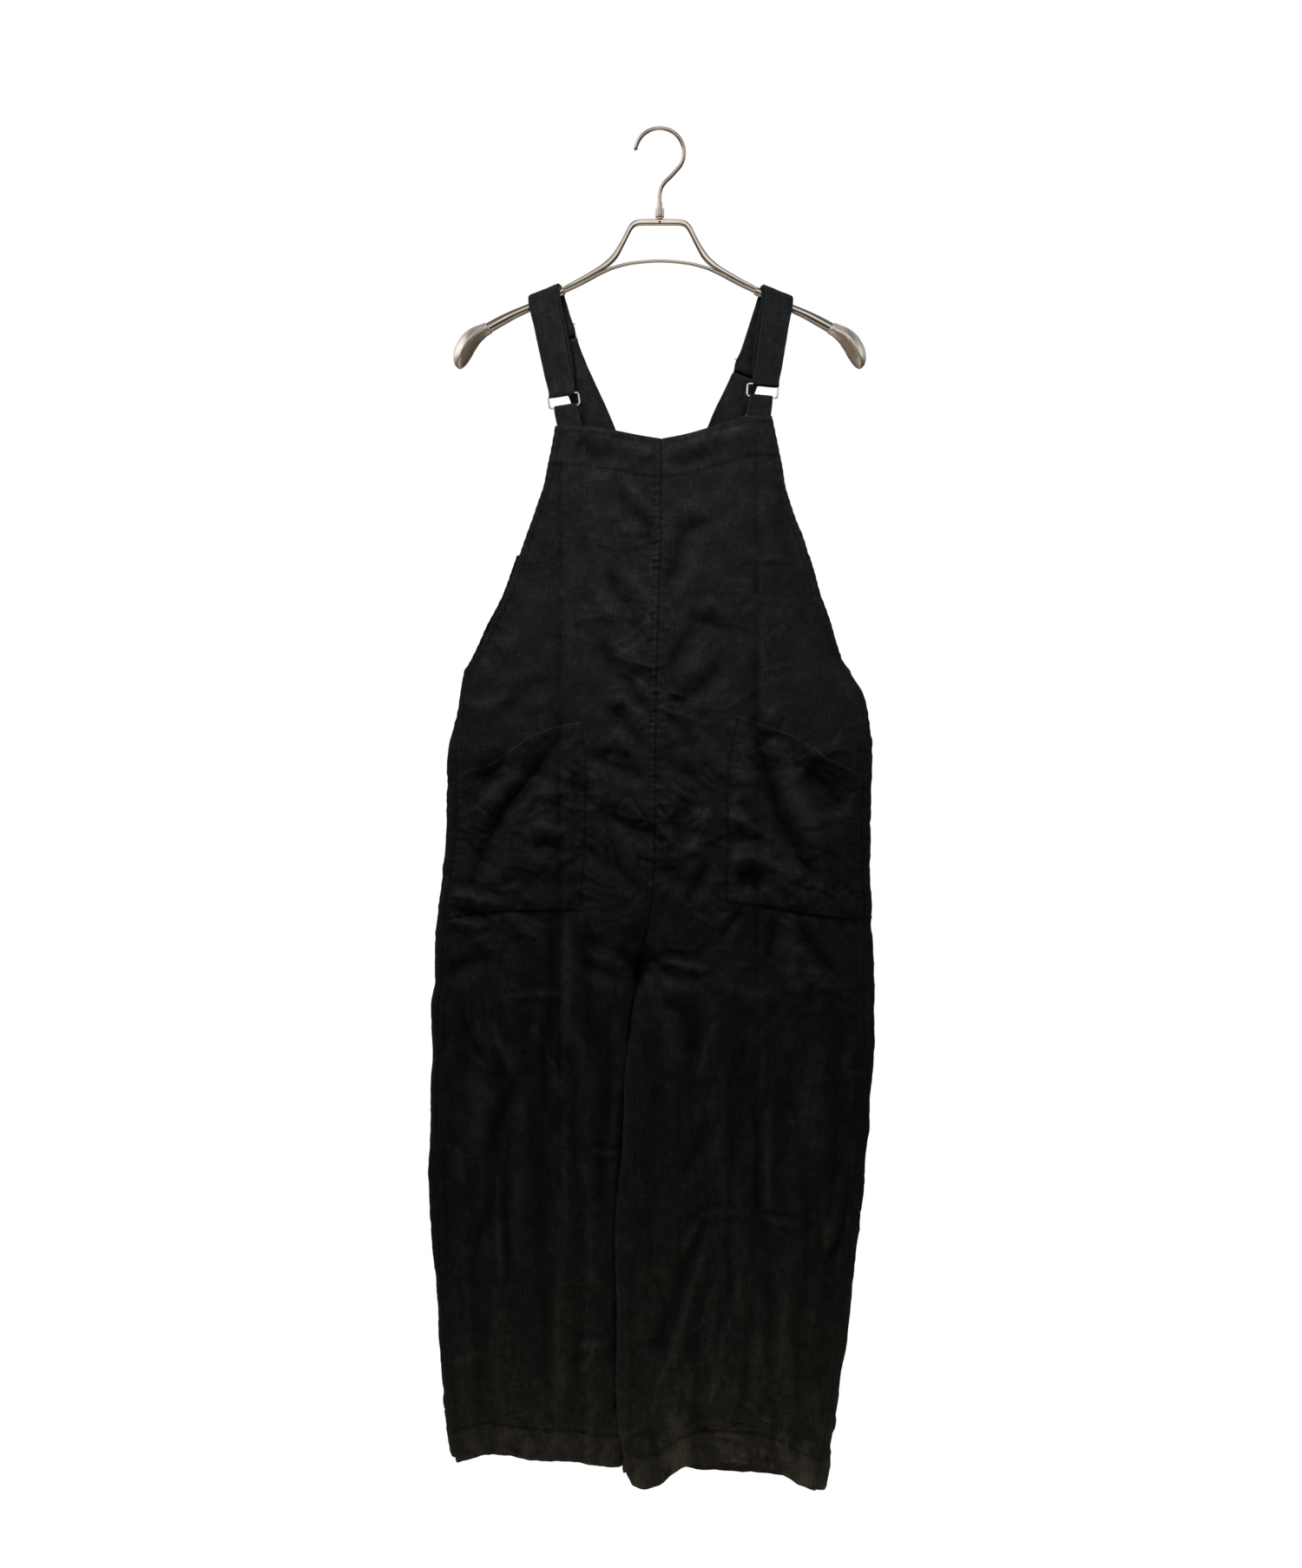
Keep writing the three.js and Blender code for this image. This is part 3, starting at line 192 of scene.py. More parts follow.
# Folds that were placed one by one, in millimetres. A row is a line of points (x, z), how wide the
# fold is, how far it rises off the cloth (a trough where that is below zero) and, last, how crisp
# its crest is, from 0 to 1.
frontFolds = [
    ([(-88, -322), (-64, -333), (-42, -334)], 11, -3.4, 0.1),
    ([(-40, -321), (-22, -328), (-4, -332)], 9, 2.6, 0.1),
    ([(18, -318), (50, -314), (88, -307)], 9, 2.2, 0.1),
    ([(6, -343), (30, -340), (52, -332)], 7, -2.2, 0.2),
    ([(-46, -366), (-30, -392), (-11.5, -405), (-10.5, -437)], 7, -3, 0.3),
    ([(-53, -446), (-45, -474), (-30, -490), (-15, -515)], 8, -2.8, 0.3),
    ([(-62, -520), (-48, -548), (-32, -563), (-14, -560)], 9, -3.4, 0.2),
    ([(-33, -566), (-22, -583), (-12, -596)], 5, -2, 0.4),
    ([(-60, -584), (-36, -606), (-12, -636)], 6, -2.2, 0.3),
    ([(-72, -640), (-50, -650), (-30, -655), (-11, -668)], 7, -2.6, 0.2),
    ([(-70, -690), (-48, -697), (-26, -712), (-12, -733)], 8, -2.2, 0.2),
    ([(-80, -735), (-55, -743), (-30, -760), (-14, -782)], 8, -2, 0.2),
    ([(56, -402), (36, -405), (24, -414), (16, -446), (4, -475)], 8, -3.4, 0.3),
    ([(68, -512), (52, -503), (38, -505), (26, -522), (4, -559)], 8, -3.6, 0.3),
    ([(60, -540), (53, -558), (40, -572), (22, -584), (3, -583)], 7, -3, 0.3),
    ([(6, -596), (22, -612), (38, -636)], 6, -2.2, 0.2),
    ([(4, -640), (20, -655), (44, -662)], 6, -1.8, 0.2),
    ([(2, -700), (22, -716), (50, -720)], 7, -2, 0.1),
    ([(-2, -748), (20, -766), (52, -770)], 8, -2, 0.1),
    ([(104, -441), (120, -440), (137, -442)], 3, 0.9, 0.6),
    ([(103, -523), (107, -553), (124, -549), (143, -546)], 4, 1.2, 0.6),
    ([(118, -372), (126, -420), (142, -470), (150, -520)], 7, -1.6, 0.1),
    ([(-128, -475), (-140, -510), (-165, -545)], 10, 1.8, 0.1),
    ([(-150, -575), (-175, -590), (-196, -588)], 7, 1.4, 0.3),
    ([(-110, -560), (-140, -575), (-165, -606)], 8, -1.8, 0.2),
    ([(92, -618), (104, -645), (120, -696), (140, -742), (160, -770)], 9, -6, 0.4),
    ([(-106, -626), (-128, -660), (-162, -700), (-182, -742), (-196, -780)], 11, -6.2, 0.3),
    ([(85, -606), (100, -614), (112, -632)], 9, -3, 0.2),
    ([(142, -652), (168, -672), (186, -700)], 16, -5.2, 0.1),
    ([(128, -640), (142, -690), (160, -735)], 12, 2.6, 0.1),
    ([(-150, -640), (-168, -656), (-190, -664)], 10, -3, 0.2),
    ([(-140, -650), (-160, -680), (-186, -715)], 8, 3, 0.3),
    ([(66, -700), (84, -706), (104, -722)], 6, 2.8, 0.4),
    ([(68, -748), (92, -742), (116, -752)], 8, 3, 0.3),
    ([(74, -766), (92, -764), (108, -772)], 12, -4, 0.1),
    ([(-128, -708), (-112, -712), (-98, -722)], 8, 3, 0.3),
    ([(-132, -738), (-114, -730), (-92, -738)], 7, -3, 0.3),
    ([(-90, -655), (-78, -672), (-70, -695)], 8, -2.6, 0.2),
    ([(-62, -640), (-44, -636), (-28, -644)], 6, -2.6, 0.4),
    ([(52, -690), (40, -715), (28, -745)], 9, 2.8, 0.2),
    ([(50, -745), (36, -772), (22, -790)], 6, -3, 0.3),
    ([(-155, -664), (-178, -690), (-196, -700)], 6, 1.6, 0.4),
    ([(-100, -690), (-122, -720), (-132, -760)], 10, 1.6, 0.1),
    ([(112, -742), (128, -772), (150, -792)], 10, 1.4, 0.1),
    ([(-217, -781), (-190, -784), (-157, -791)], 6, 2.8, 0.5),
    ([(-224, -808), (-200, -809), (-172, -814)], 5, 2.4, 0.5),
    ([(-226, -866), (-200, -852), (-163, -842)], 8, -2.8, 0.2),
    ([(-160, -800), (-140, -812), (-118, -830)], 7, 1.6, 0.2),
    ([(-4, -845.5), (20, -852), (36, -855), (50, -854)], 4.5, 1.6, 0.2),
    ([(-2, -856), (20, -863), (46, -866)], 6, -1.6, 0.1),
    ([(-80, -822), (-52, -834), (-22, -845)], 5, -1.5, 0.2),
    ([(-86, -850), (-58, -858), (-28, -870)], 6, -2, 0.2),
    ([(0, -880), (26, -905), (40, -950)], 10, -2.4, 0.1),
    ([(60, -868), (92, -884), (128, -880)], 9, 1.8, 0.1),
    ([(146, -850), (160, -872), (186, -880)], 6, 1.6, 0.3),
    ([(20, -1150), (31, -1122), (40, -1106), (55, -1100), (88, -1102)], 3.6, 1.8, 0.7),
    ([(79, -1101), (100, -1106)], 5, 1, 0.3),
    ([(100, -1106), (126, -1112), (148, -1116)], 3, 1.6, 0.7),
    ([(52, -1112), (40, -1150), (25, -1205), (10, -1248), (-6, -1282)], 5.5, 2.6, 0.4),
    ([(30, -1130), (12, -1200), (-10, -1245)], 10, -3, 0.1),
    ([(86, -1150), (72, -1205), (58, -1262), (48, -1300)], 5, 1.6, 0.3),
    ([(-128, -796), (-130, -930), (-126, -1100), (-130, -1322)], 12, -3.4, 0.1),
    ([(-156, -910), (-150, -1010), (-158, -1125)], 10, -2.6, 0.1),
    ([(-178, -880), (-186, -980), (-176, -1090)], 10, 2, 0.1),
    ([(-73, -1037), (-58, -1041), (-44, -1042)], 2.8, 1.6, 0.6),
    ([(-152, -884), (-125, -881), (-95, -883)], 4, 1.4, 0.6),
    ([(-82, -1238), (-70, -1232), (-60, -1236)], 4, 2, 0.7),
    ([(-66, -1238), (-80, -1262)], 4, 1, 0.5),
    ([(-225, -1262), (-200, -1252), (-180, -1244)], 5, 1.4, 0.4),
    ([(140, -900), (150, -1000), (140, -1085)], 16, 3, 0.0),
    ([(118, -960), (122, -1040), (114, -1120)], 12, -1.6, 0.1),
    ([(170, -1120), (164, -1210), (152, -1300)], 14, -2.6, 0.0),
    ([(-62, -900), (-58, -990), (-64, -1090)], 10, -3, 0.3),
    ([(-50.5, -890), (-50, -960), (-53, -1036)], 5.5, -2, 0.3),
    ([(-61, -1044), (-58, -1070), (-66, -1094)], 6, -2, 0.2),
    ([(-225, -1030), (-205, -1045), (-198, -1080)], 4, 1.4, 0.6),
    ([(-144, -1060), (-146, -1120), (-142, -1160)], 3.5, 1.2, 0.6),
    ([(-172, -905), (-160, -940), (-146, -965)], 6, 2.6, 0.4),
    ([(-200, -905), (-190, -930), (-176, -950)], 5, -2.6, 0.4),
    ([(-109, -790), (-110, -860), (-112, -945)], 9, -3.4, 0.2),
    ([(-93, -800), (-94, -870), (-96, -960)], 6, 2.2, 0.4),
    ([(-73, -800), (-74, -870), (-70, -960)], 9, -3.6, 0.2),
    ([(-118, -905), (-119, -950), (-116, -1000)], 5, -2.4, 0.3),
    ([(-138, -955), (-166, -1010), (-178, -1050), (-176, -1095), (-189, -1150)], 7.5, -3.4, 0.4),
    ([(-190, -950), (-196, -1010), (-204, -1080)], 12, 3, 0.2),
    ([(-157, -1050), (-158, -1110), (-152, -1190)], 4, -1.2, 0.3),
    ([(-163, -1055), (-165, -1110), (-160, -1180)], 4, 1.8, 0.7),
    ([(84, -793), (72, -808), (60, -826)], 5, -2.4, 0.4),
    ([(118, -804), (115, -822), (108, -850)], 5, -2.4, 0.4),
    ([(138, -804), (152, -830), (166, -848), (182, -864)], 6, -2.8, 0.4),
    ([(128, -812), (134, -850), (142, -885)], 11, 2.6, 0.2),
    ([(110, -985), (109, -1050), (110, -1110)], 5, 2.2, 0.6),
    ([(84, -920), (82, -1000), (74, -1065)], 11, -2.6, 0.1),
    ([(60, -905), (46, -935), (38, -975)], 6, 2.2, 0.5),
    ([(52, -1000), (40, -1030), (20, -1070)], 8, -2.4, 0.3),
    ([(200, -1050), (193, -1100), (181, -1136), (166, -1158)], 5, -2.8, 0.5),
    ([(186, -1060), (178, -1110), (166, -1140)], 8, 2, 0.3),
    ([(120, -1150), (124, -1220), (116, -1300)], 7, 1.3, 0.1),
    ([(96, -1180), (88, -1250), (78, -1320)], 6, -1.6, 0.2),
    ([(-100, -1140), (-104, -1210), (-96, -1300)], 6, 1.4, 0.3),
    ([(-116, -1180), (-118, -1250), (-110, -1330)], 6, -1.6, 0.2),
    ([(-198, -1160), (-196, -1230), (-202, -1300)], 7, 1.4, 0.2),
    ([(16, -1290), (20, -1330), (14, -1372)], 12, 3.2, 0.2),
    ([(46, -1310), (50, -1340), (52, -1366)], 10, -3, 0.2),
    ([(140, -1330), (146, -1360), (150, -1388)], 12, 3, 0.2),
    ([(100, -1320), (98, -1345), (100, -1366)], 12, -2.4, 0.2),
]
backFolds = [
    ([(24, -520), (60, -600), (110, -690)], 14, -4.6, 0.2),
    ([(-20, -540), (-56, -620), (-120, -715)], 14, -4.6, 0.2),
    ([(110, -470), (128, -530), (160, -570)], 10, -2.6, 0.1),
    ([(-112, -480), (-135, -540), (-170, -585)], 10, -2.6, 0.1),
    ([(20, -640), (44, -655), (75, -640)], 8, -2.4, 0.2),
    ([(-14, -660), (-46, -680), (-74, -668)], 8, -2.4, 0.2),
    ([(4, -720), (40, -742), (86, -738)], 9, -2.6, 0.2),
    ([(-16, -735), (-52, -760), (-94, -752)], 9, -2.6, 0.2),
    ([(4, -812), (40, -822), (120, -786)], 12, 4, 0.2),
    ([(-34, -818), (-70, -828), (-140, -792)], 12, 4, 0.2),
    ([(0, -846), (50, -866), (105, -852)], 7, -2.8, 0.2),
    ([(-44, -850), (-86, -868), (-130, -856)], 7, -2.8, 0.2),
    ([(90, -900), (78, -1060), (86, -1200), (76, -1320)], 14, -4.4, 0.1),
    ([(-138, -920), (-146, -1080), (-128, -1310)], 14, -4.4, 0.1),
    ([(150, -880), (162, -1020), (150, -1180)], 12, 3.4, 0.1),
    ([(-190, -900), (-200, -1040), (-186, -1200)], 12, 3.4, 0.1),
    ([(20, -960), (30, -1100), (14, -1240)], 11, 3, 0.1),
    ([(-86, -960), (-78, -1090), (-92, -1230)], 11, 3, 0.1),
    ([(110, -1086), (140, -1092), (166, -1088)], 5, 2, 0.5),
    ([(-150, -1120), (-176, -1126), (-200, -1118)], 5, 2, 0.5),
]


def innerX(side, z):
    # The centre seam, and below the crotch the inside of a leg: the left one's reaches a little
    # way behind the right one's.
    centre = curveAt(centreLine, "z", "x", z)
    close = beneath(z, garment["crotch"] + garment["closeFade"], garment["closeFade"])
    gap = mix(garment["seamGap"] / 2, -garment["legTouch"], close)
    if side == "right":
        return centre + gap
    reachOver = beneath(z, garment["crotch"], garment["overlapFade"])
    return centre + mix(-gap, garment["legOverlap"], reachOver)


def reach(side, face, share, z):
    # Off-plane reach at a share of the way out: an ellipse on the body, flatter on the bib, drawn
    # in by a quarter ellipse at the crotch curve, and rounded inwards on the legs.
    full = curveAt(bulge, "z", face, z)
    edge = curveAt(bulge, "z", face + "Edge", z)
    flat = garment["legFlat"] * beneath(z, *garment["flatBelow"])
    past = np.clip((share - flat) / (1 - flat), 0, 1)
    power = mix(1, 0.5, beneath(z, *garment["roundBelow"]))
    outward = edge + (full - edge) * (1 - past * past) ** power
    top = garment["forkTop"][face]
    fork = np.clip((top - z) / (top - garment["crotch"]), 0, 1)
    pinch = np.sqrt(1 - fork * fork)
    roll = mix(garment["rollTop"] + garment["rollFork"] * fork,
               garment["legRoll"][face][side] + garment["rollFork"] * (fork - 1),
               beneath(z, garment["crotch"], garment["rollFade"]))
    rolled = np.clip(share / roll, 0, 1)
    return outward * (pinch + (1 - pinch) * np.sqrt(1 - (1 - rolled) ** 2))


def bodySurface(side, face, angle, z):
    # A half's section swept from the centre of the front (-90 degrees) through its outermost line
    # (0) to the centre of the back (90 degrees).
    share = np.cos(angle)
    shift = 0
    if face == "back":
        above = smooth((z - garment["sideSeamTop"]) / garment["shiftFade"])
        shift = garment["backEdgeShift"][side] * above
    x = mix(innerX(side, z), curveAt(outline, "z", side, z) + shift, share)
    free = (z > garment["sideSeamTop"]) | (np.abs(angle) < 1e-9)
    towards = np.where(free, faceSign[face], np.sign(angle))
    out = np.where(towards < 0, reach(side, "front", share, z), reach(side, "back", share, z))
    legs = beneath(z, garment["crotch"], garment["legFade"]) * (1 - share) ** 2
    y = towards * out + garment["legShift"][side] * legs
    return np.stack([x, y, z], axis=-1)


def seamAngle(z):
    # The side seam is outermost at the armhole, and rolls to the front below it.
    return -garment["seamTurn"] * beneath(z, garment["sideSeamTop"], garment["turnFade"])


def bibPart(z):
    # One on the bib, beside the open armholes, and zero below them.
    return smooth((z - garment["sideSeamTop"]) / garment["bibFade"])


# Grids of points, and the walls made from them

def gridNormals(grid, towards):
    # Cross product of a grid's two directions, all turned one way: mostly along Y, by its sign.
    normal = unit(np.cross(np.gradient(grid, axis=1), np.gradient(grid, axis=0)))
    return normal if np.sum(normal[..., 1]) * towards > 0 else -normal


def quadsOf(rows, columns, start=0):
    # Corner numbers of the quads of a grid whose points are counted row by row.
    i, j = np.meshgrid(np.arange(rows - 1), np.arange(columns - 1), indexing="ij")
    a = (start + i * columns + j).ravel()
    return np.stack([a, a + columns, a + columns + 1, a + 1], axis=-1)


def wallQuads(rows, columns):
    # An outer grid, an inner grid turned round, and the four rims between their edges.
    count = rows * columns
    outer = quadsOf(rows, columns)
    inner = quadsOf(rows, columns, count)[:, ::-1]
    border = np.concatenate([
        np.arange(columns),
        np.arange(1, rows) * columns + columns - 1,
        (rows - 1) * columns + np.arange(columns - 2, -1, -1),
        np.arange(rows - 2, 0, -1) * columns,
    ])
    onward = np.roll(border, -1)
    rim = np.stack([border, onward, onward + count, border + count], axis=-1)
    return np.concatenate([outer, inner, rim])


def faceOut(points, quads):
    # Turns every face round if the closed mesh has a volume below zero.
    a, b, c, d = (points[quads[:, k]] for k in range(4))
    volume = np.sum(a * np.cross(b, c)) + np.sum(a * np.cross(c, d))
    return quads if volume > 0 else quads[:, [1, 0, 3, 2]]


def meshPiece(name, points, faces, uv=None, worn=None, sharp=60):
    # A mesh object from arrays. A face has four corners, or three where its last one is doubled.
    mesh = bpy.data.meshes.new(name)
    keep = np.ones(faces.shape, bool)
    keep[:, 3] = faces[:, 3] != faces[:, 2]
    corners = np.ascontiguousarray(faces[keep], np.int32)
    counts = keep.sum(axis=1)
    mesh.vertices.add(len(points))
    mesh.vertices.foreach_set("co", np.ascontiguousarray(points, np.float32).ravel())
    mesh.loops.add(len(corners))
    mesh.loops.foreach_set("vertex_index", corners)
    mesh.polygons.add(len(faces))
    mesh.polygons.foreach_set("loop_start", (np.cumsum(counts) - counts).astype(np.int32))
    if uv is not None:
        layer = mesh.uv_layers.new(name="cloth")
        layer.data.foreach_set("uv", uv[corners].astype(np.float32).ravel())
    # Per point: painted shade in troughs, at seams and under pocket mouths, painted highlights on crests
    # and edges, and some wear, which the cloth's colour reads.
    if worn is not None:
        mesh.attributes.new("worn", "FLOAT", "POINT").data.foreach_set("value", worn.astype(np.float32))
    mesh.update(calc_edges=True)
    mesh.validate()
    mesh.polygons.foreach_set("use_smooth", np.ones(len(mesh.polygons), bool))
    mesh.set_sharp_from_angle(angle=np.radians(sharp))
    return addObject(name, mesh)


# Relief of the cloth: folds, puckers and crumple

fullRise = 0.0034   # a fold this high gets the full painted highlight along its crest, a trough this deep the full painted shade


def foldRelief(folds, x, z):
    # Each fold is a bell across its line, fading over its first and last quarter. A crisp one has
    # a pointed crest, and the cloth beside a fold is drawn the other way a little. The second
    # result is painted shade and highlight: below zero along a trough, as painted shade, above
    # zero along a crest, as a painted highlight, most on crisp ones.
    relief, tone = np.zeros_like(x), np.zeros_like(x)
    for line, wide, rise, crisp in folds:
        points, wide, rise = np.array(line) / 1000, wide / 1000, rise / 1000
        run = runAlong(points)
        nearest = np.full(x.shape, 1.0)
        along = np.zeros_like(x)
        for k, length in enumerate(np.diff(run)):
            step = (points[k + 1] - points[k]) / length
            t = np.clip((x - points[k, 0]) * step[0] + (z - points[k, 1]) * step[1], 0, length)
            away = np.hypot(x - points[k, 0] - step[0] * t, z - points[k, 1] - step[1] * t)
            closer = away < nearest
            nearest = np.where(closer, away, nearest)
            along = np.where(closer, (run[k] + t) / run[-1], along)
        fade = smooth(4 * np.minimum(along, 1 - along) + 0.12)
        d = nearest / (wide * (0.45 + 0.55 * fade))
        crest = mix(bell(d), np.exp(-1.6 * d), crisp)
        beside = -0.28 * bell((d - 2.3) / 0.9)
        relief += rise * fade * (crest + beside)
        strength = np.clip(rise / fullRise, -1.2, 1.2) * (0.45 + 1.1 * crisp)
        tone += strength * fade * (crest + 0.6 * beside)
    return relief, np.clip(tone, -1.4, 1.6)


# Fields of creases: how high and at what pitch, the shares of x, z, bent x and bent z that make
# the noise's two coordinates, its seed, and how much its ridges add and how narrow those are.
creaseFields = {
    # A slow swell of the hanging cloth.
    "soft": (0.0030, 0.058, (1, 0, 0, 0), (0, 1 / 2.2, 0, 0), 0, 0, 1),
    # Washed-in creases that run across, and those that rise and fall to the side.
    "flat": (0.0021, 0.021, (0, 0, 1 / 3.4, 0), (0, 0, 0, 1), 6, 0.8, 3.0),
    "rising": (0.0019, 0.026, (0, 0, 1, 0.8), (0, 0, -0.25, 1 / 2.4), 7, -0.9, 3.2),
    "falling": (0.0019, 0.026, (0, 0, 1, -0.7), (0, 0, 0.5 / 2.2, 1 / 2.2), 8, 0.9, 3.2),
    # Long folds down the legs, and thin ones between them.
    "upright": (0.0036, 0.022, (1 / 1.4, 0, 0.4 / 1.4, 0), (0, 1 / 8, 0, 0), 9, 0, 1),
    "thin": (0.0007, 0.0075, (1 / 1.5, 0, 0.5 / 1.5, 0), (0, 0, 0, 0.2), 12, 0.6, 2.6),
    "fine": (0.00034, 0.0095, (0, 0, 1, 0), (0, 0, 0, 1), 10, 1, 2.5),
}


def creaseLines(noise, narrow):
    # Ridges where a noise crosses zero: one less its size, cubed, so that crests are narrow.
    return np.maximum(1 - np.abs(noise) * narrow, 0) ** 3


def crumpleRelief(x, z, seed, busy):
    # A slow swell and fields of creases, stretched across at the hips and down on the legs. Bent
    # coordinates keep the lines uneven, and a slow noise lets each field come and go.
    bendX = x + 0.014 * softNoise(x / 0.06, z / 0.05, seed + 1)
    bendZ = z + 0.014 * softNoise(x / 0.05, z / 0.06, seed + 2)
    where = [smooth(0.5 + 1.1 * softNoise(x / 0.075, z / 0.075, seed + 3 + k)) for k in range(3)]
    legs = beneath(z, -0.84, 0.10)
    strengths = {
        "soft": 1, "flat": busy * where[0] * (1 - 0.75 * legs), "rising": busy * where[1],
        "falling": busy * where[2], "upright": legs, "thin": legs,
        "fine": mix(0.4, 1, where[1]) * (0.5 + busy + 0.6 * legs),
    }
    relief = np.zeros_like(x)
    for name, (high, pitch, forU, forV, step, ridges, narrow) in creaseFields.items():
        u, v = (sum(share * value for share, value in zip(shares, (x, z, bendX, bendZ)) if share)
                for shares in (forU, forV))
        noise = softNoise(u / pitch, v / pitch, seed + step)
        relief += high * strengths[name] * (noise + ridges * creaseLines(noise, narrow))
    return relief


def blurred(values, rows, columns):
    # The mean over a block of neighbours, from running sums over a padded grid.
    for axis, reachOut in ((0, rows), (1, columns)):
        pad = [(0, 0), (0, 0)]
        pad[axis] = (reachOut + 1, reachOut)
        total = np.moveaxis(np.cumsum(np.pad(values, pad, mode="edge"), axis=axis), axis, 0)
        count = 2 * reachOut + 1
        values = np.moveaxis((total[count:] - total[:-count]) / count, 0, axis)
    return values


# Strengths of the painted shade and painted highlights that folds, creases and pocket edges put in the
# cloth's colour; of the lighter hem band, partly painted light from below and partly wear; and of the
# lighter top and armhole edges.
paintedShadeAndWearAmounts = {
    "near": 0.0014, "wide": 0.0036,       # a crest that stands out this far gets the full painted highlight, a trough this deep the full painted shade
    "seamCalm": 0.004, "legs": 0.5, "hips": 0.3, "hipLevel": -0.72, "hipReach": 0.14,
    "hem": 0.8, "topEdge": 0.5, "armholeEdge": 0.5,
    "mouthEdgeHighlight": 2.8, "mouthShade": 0.9, "pocketBand": 0.6, "pocketEdge": 2.0,
}


def crests(relief):
    # How far each place stands out from its neighbourhood, near and wide: -1 in a fold's bottom,
    # as painted shade, to 1 on a crest, as a painted highlight and washed-out wear.
    near = relief - blurred(relief, 3, 2)
    wide = relief - blurred(relief, 12, 7)
    return np.clip(near / paintedShadeAndWearAmounts["near"] + wide / paintedShadeAndWearAmounts["wide"], -1.25, 1)


def pressedLine(distance, deep, wide):
    # A sharp pressed crease: deepest on its line, with a long flank before it and a short one after.
    return -deep * np.exp(-np.abs(distance) / np.where(distance < 0, wide, 0.3 * wide))


# Puckers: how far past the line they are highest, how wide, at what pitch and how high.
puckerForms = {
    "facing": (0, 0.005, 0.0085, 0.00022), "armhole": (-0.0022, 0.004, 0.0078, 0.00028),
    "hem": (0, 0.006, 0.0098, 0.00025), "pocket": (0.003, 0.006, 0.0088, 0.00045),
    "side": (0.004, 0.005, 0.0092, 0.00026), "centre": (0.003, 0.006, 0.0090, 0.00034),
    "centreHem": (0.0035, 0.0050, 0.0066, 0.00085),
}


def puckers(kind, along, distance, seed):
    # Ripples across a seam, high on it and fading away from it, with an uneven pitch.
    past, wide, pitch, high = puckerForms[kind]
    distance = distance - past
    phase = along / pitch + 0.8 * softNoise(along / (5 * pitch), distance / 0.05, seed)
    strength = 0.65 + 0.6 * softNoise(along / (7 * pitch), distance * 0, seed + 1)
    return high * strength * np.sin(2 * np.pi * phase) * bell(distance / wide)


def groove(distance, deep=0.0005, wide=0.0011):
    # The dip that a row of stitches draws in the cloth.
    return -deep * bell(distance / wide)


def band(distance, depth, rise):
    # The doubled cloth of a hem: raised between the edge and its row of stitches.
    return rise * smooth((depth - distance) / 0.0012)


def edgeDip(distance, deep, wide):
    # The rounding of a turned edge: deepest on the edge itself.
    return -deep * (1 - smooth(distance / wide)) ** 1.5


# Turned edges: how far the doubled cloth rises, and how deep and wide its stitches' groove is.
turnedEdges = {
    "facing": (0.00055, 0.0006, 0.0013), "armhole": (0.0005, 0.0005, 0.0011),
    "hem": (0.00045, 0.0005, 0.0012),
}


def turnedEdge(kind, distance, depth, along, seed):
    # The band, the groove at its depth, the puckers and the rounded edge, added together.
    rise, deep, wide = turnedEdges[kind]
    relief = band(distance, depth, rise) + groove(distance - depth, deep, wide)
    return relief + puckers(kind, along, distance - depth, seed) + edgeDip(distance, 0.0006, 0.0012)


# Panels of the front and of the back

panel = {
    "columns": {"front": 96, "back": 66}, "rowsAbove": {"front": 296, "back": 215},
    "rowsBelow": {"front": 190, "back": 135}, "fineAbove": -0.9,
    "hipsHalf": (0.225, 0.036), "closeWithin": 0.012, "closeSide": 0.9, "closeCentre": 1.3,
    "facing": 0.040,          # depth of the doubled band at the top of the bib
    "topStitch": 0.006, "centreStitch": 0.0062, "seamStitch": 0.0014, "armholeHem": 0.0072,
    "sideStitch": 0.0065,
    "hemDepth": 0.032, "backFacing": 0.036,
    "seamDip": 0.0009, "seamRound": 0.0022,
    "keepClear": 0.014,       # the folds die away this near to the inner edge of a leg
    "allowance": 0.010, "stripSink": 0.0017,   # the turned cloth behind a seam
}

# Creases left by folding for storage: x or z of the line, from where to where, how deep. How wide
# they are, how they fade at their ends, and how far and at what pitches they wander and weaken.
storage = {
    "wide": 0.0075, "endFade": 0.03, "wander": 0.0012, "wanderPitch": 0.045, "weakPitch": 0.03,
}
storageCreases = [
    ("x", -0.1010, (-0.325, -1.090), 0.0018), ("x", 0.0986, (-0.310, -1.110), 0.0015),
    ("x", -0.0860, (-0.640, -1.085), 0.0007), ("z", -1.1010, (-0.230, 0.210), 0.0004),
    ("z", -0.7060, (-0.215, 0.214), 0.0005),
]


def columnParts(count):
    # Shares of the sweep from the side seam (0) to the centre seam (1): even steps along an
    # ellipse like the hips' section, and closer ones near both seams.
    part = np.linspace(0, 1, 800)
    angle = mix(garment["seamTurn"], np.pi / 2, part)
    wide, deep = panel["hipsHalf"]
    speed = np.hypot(wide * np.sin(angle), deep * np.cos(angle))
    run = np.concatenate([[0], np.cumsum(speed[1:] * np.diff(angle))])
    close = 1 + panel["closeSide"] * bell(run / panel["closeWithin"])
    close += panel["closeCentre"] * bell((run[-1] - run) / panel["closeWithin"])
    total = np.concatenate([[0], np.cumsum(close[1:] * np.diff(run))])
    return np.interp(np.linspace(0, total[-1], count), total, part)


def rowLevels(face):
    # Heights of the grid's rows: close above the knees and wider apart below.
    top = garment["bibLevel"] if face == "front" else garment["backLevel"]
    fine = np.linspace(top, panel["fineAbove"], panel["rowsAbove"][face], endpoint=False)
    coarse = np.linspace(panel["fineAbove"], garment["hemLevel"], panel["rowsBelow"][face])
    return np.concatenate([fine, coarse])


def gridSteps(grid, axis):
    # Running length along one direction of a grid.
    step = np.linalg.norm(np.diff(grid, axis=axis), axis=-1)
    start = np.zeros_like(np.take(step, [0], axis=axis))
    return np.concatenate([start, np.cumsum(step, axis=axis)], axis=axis)


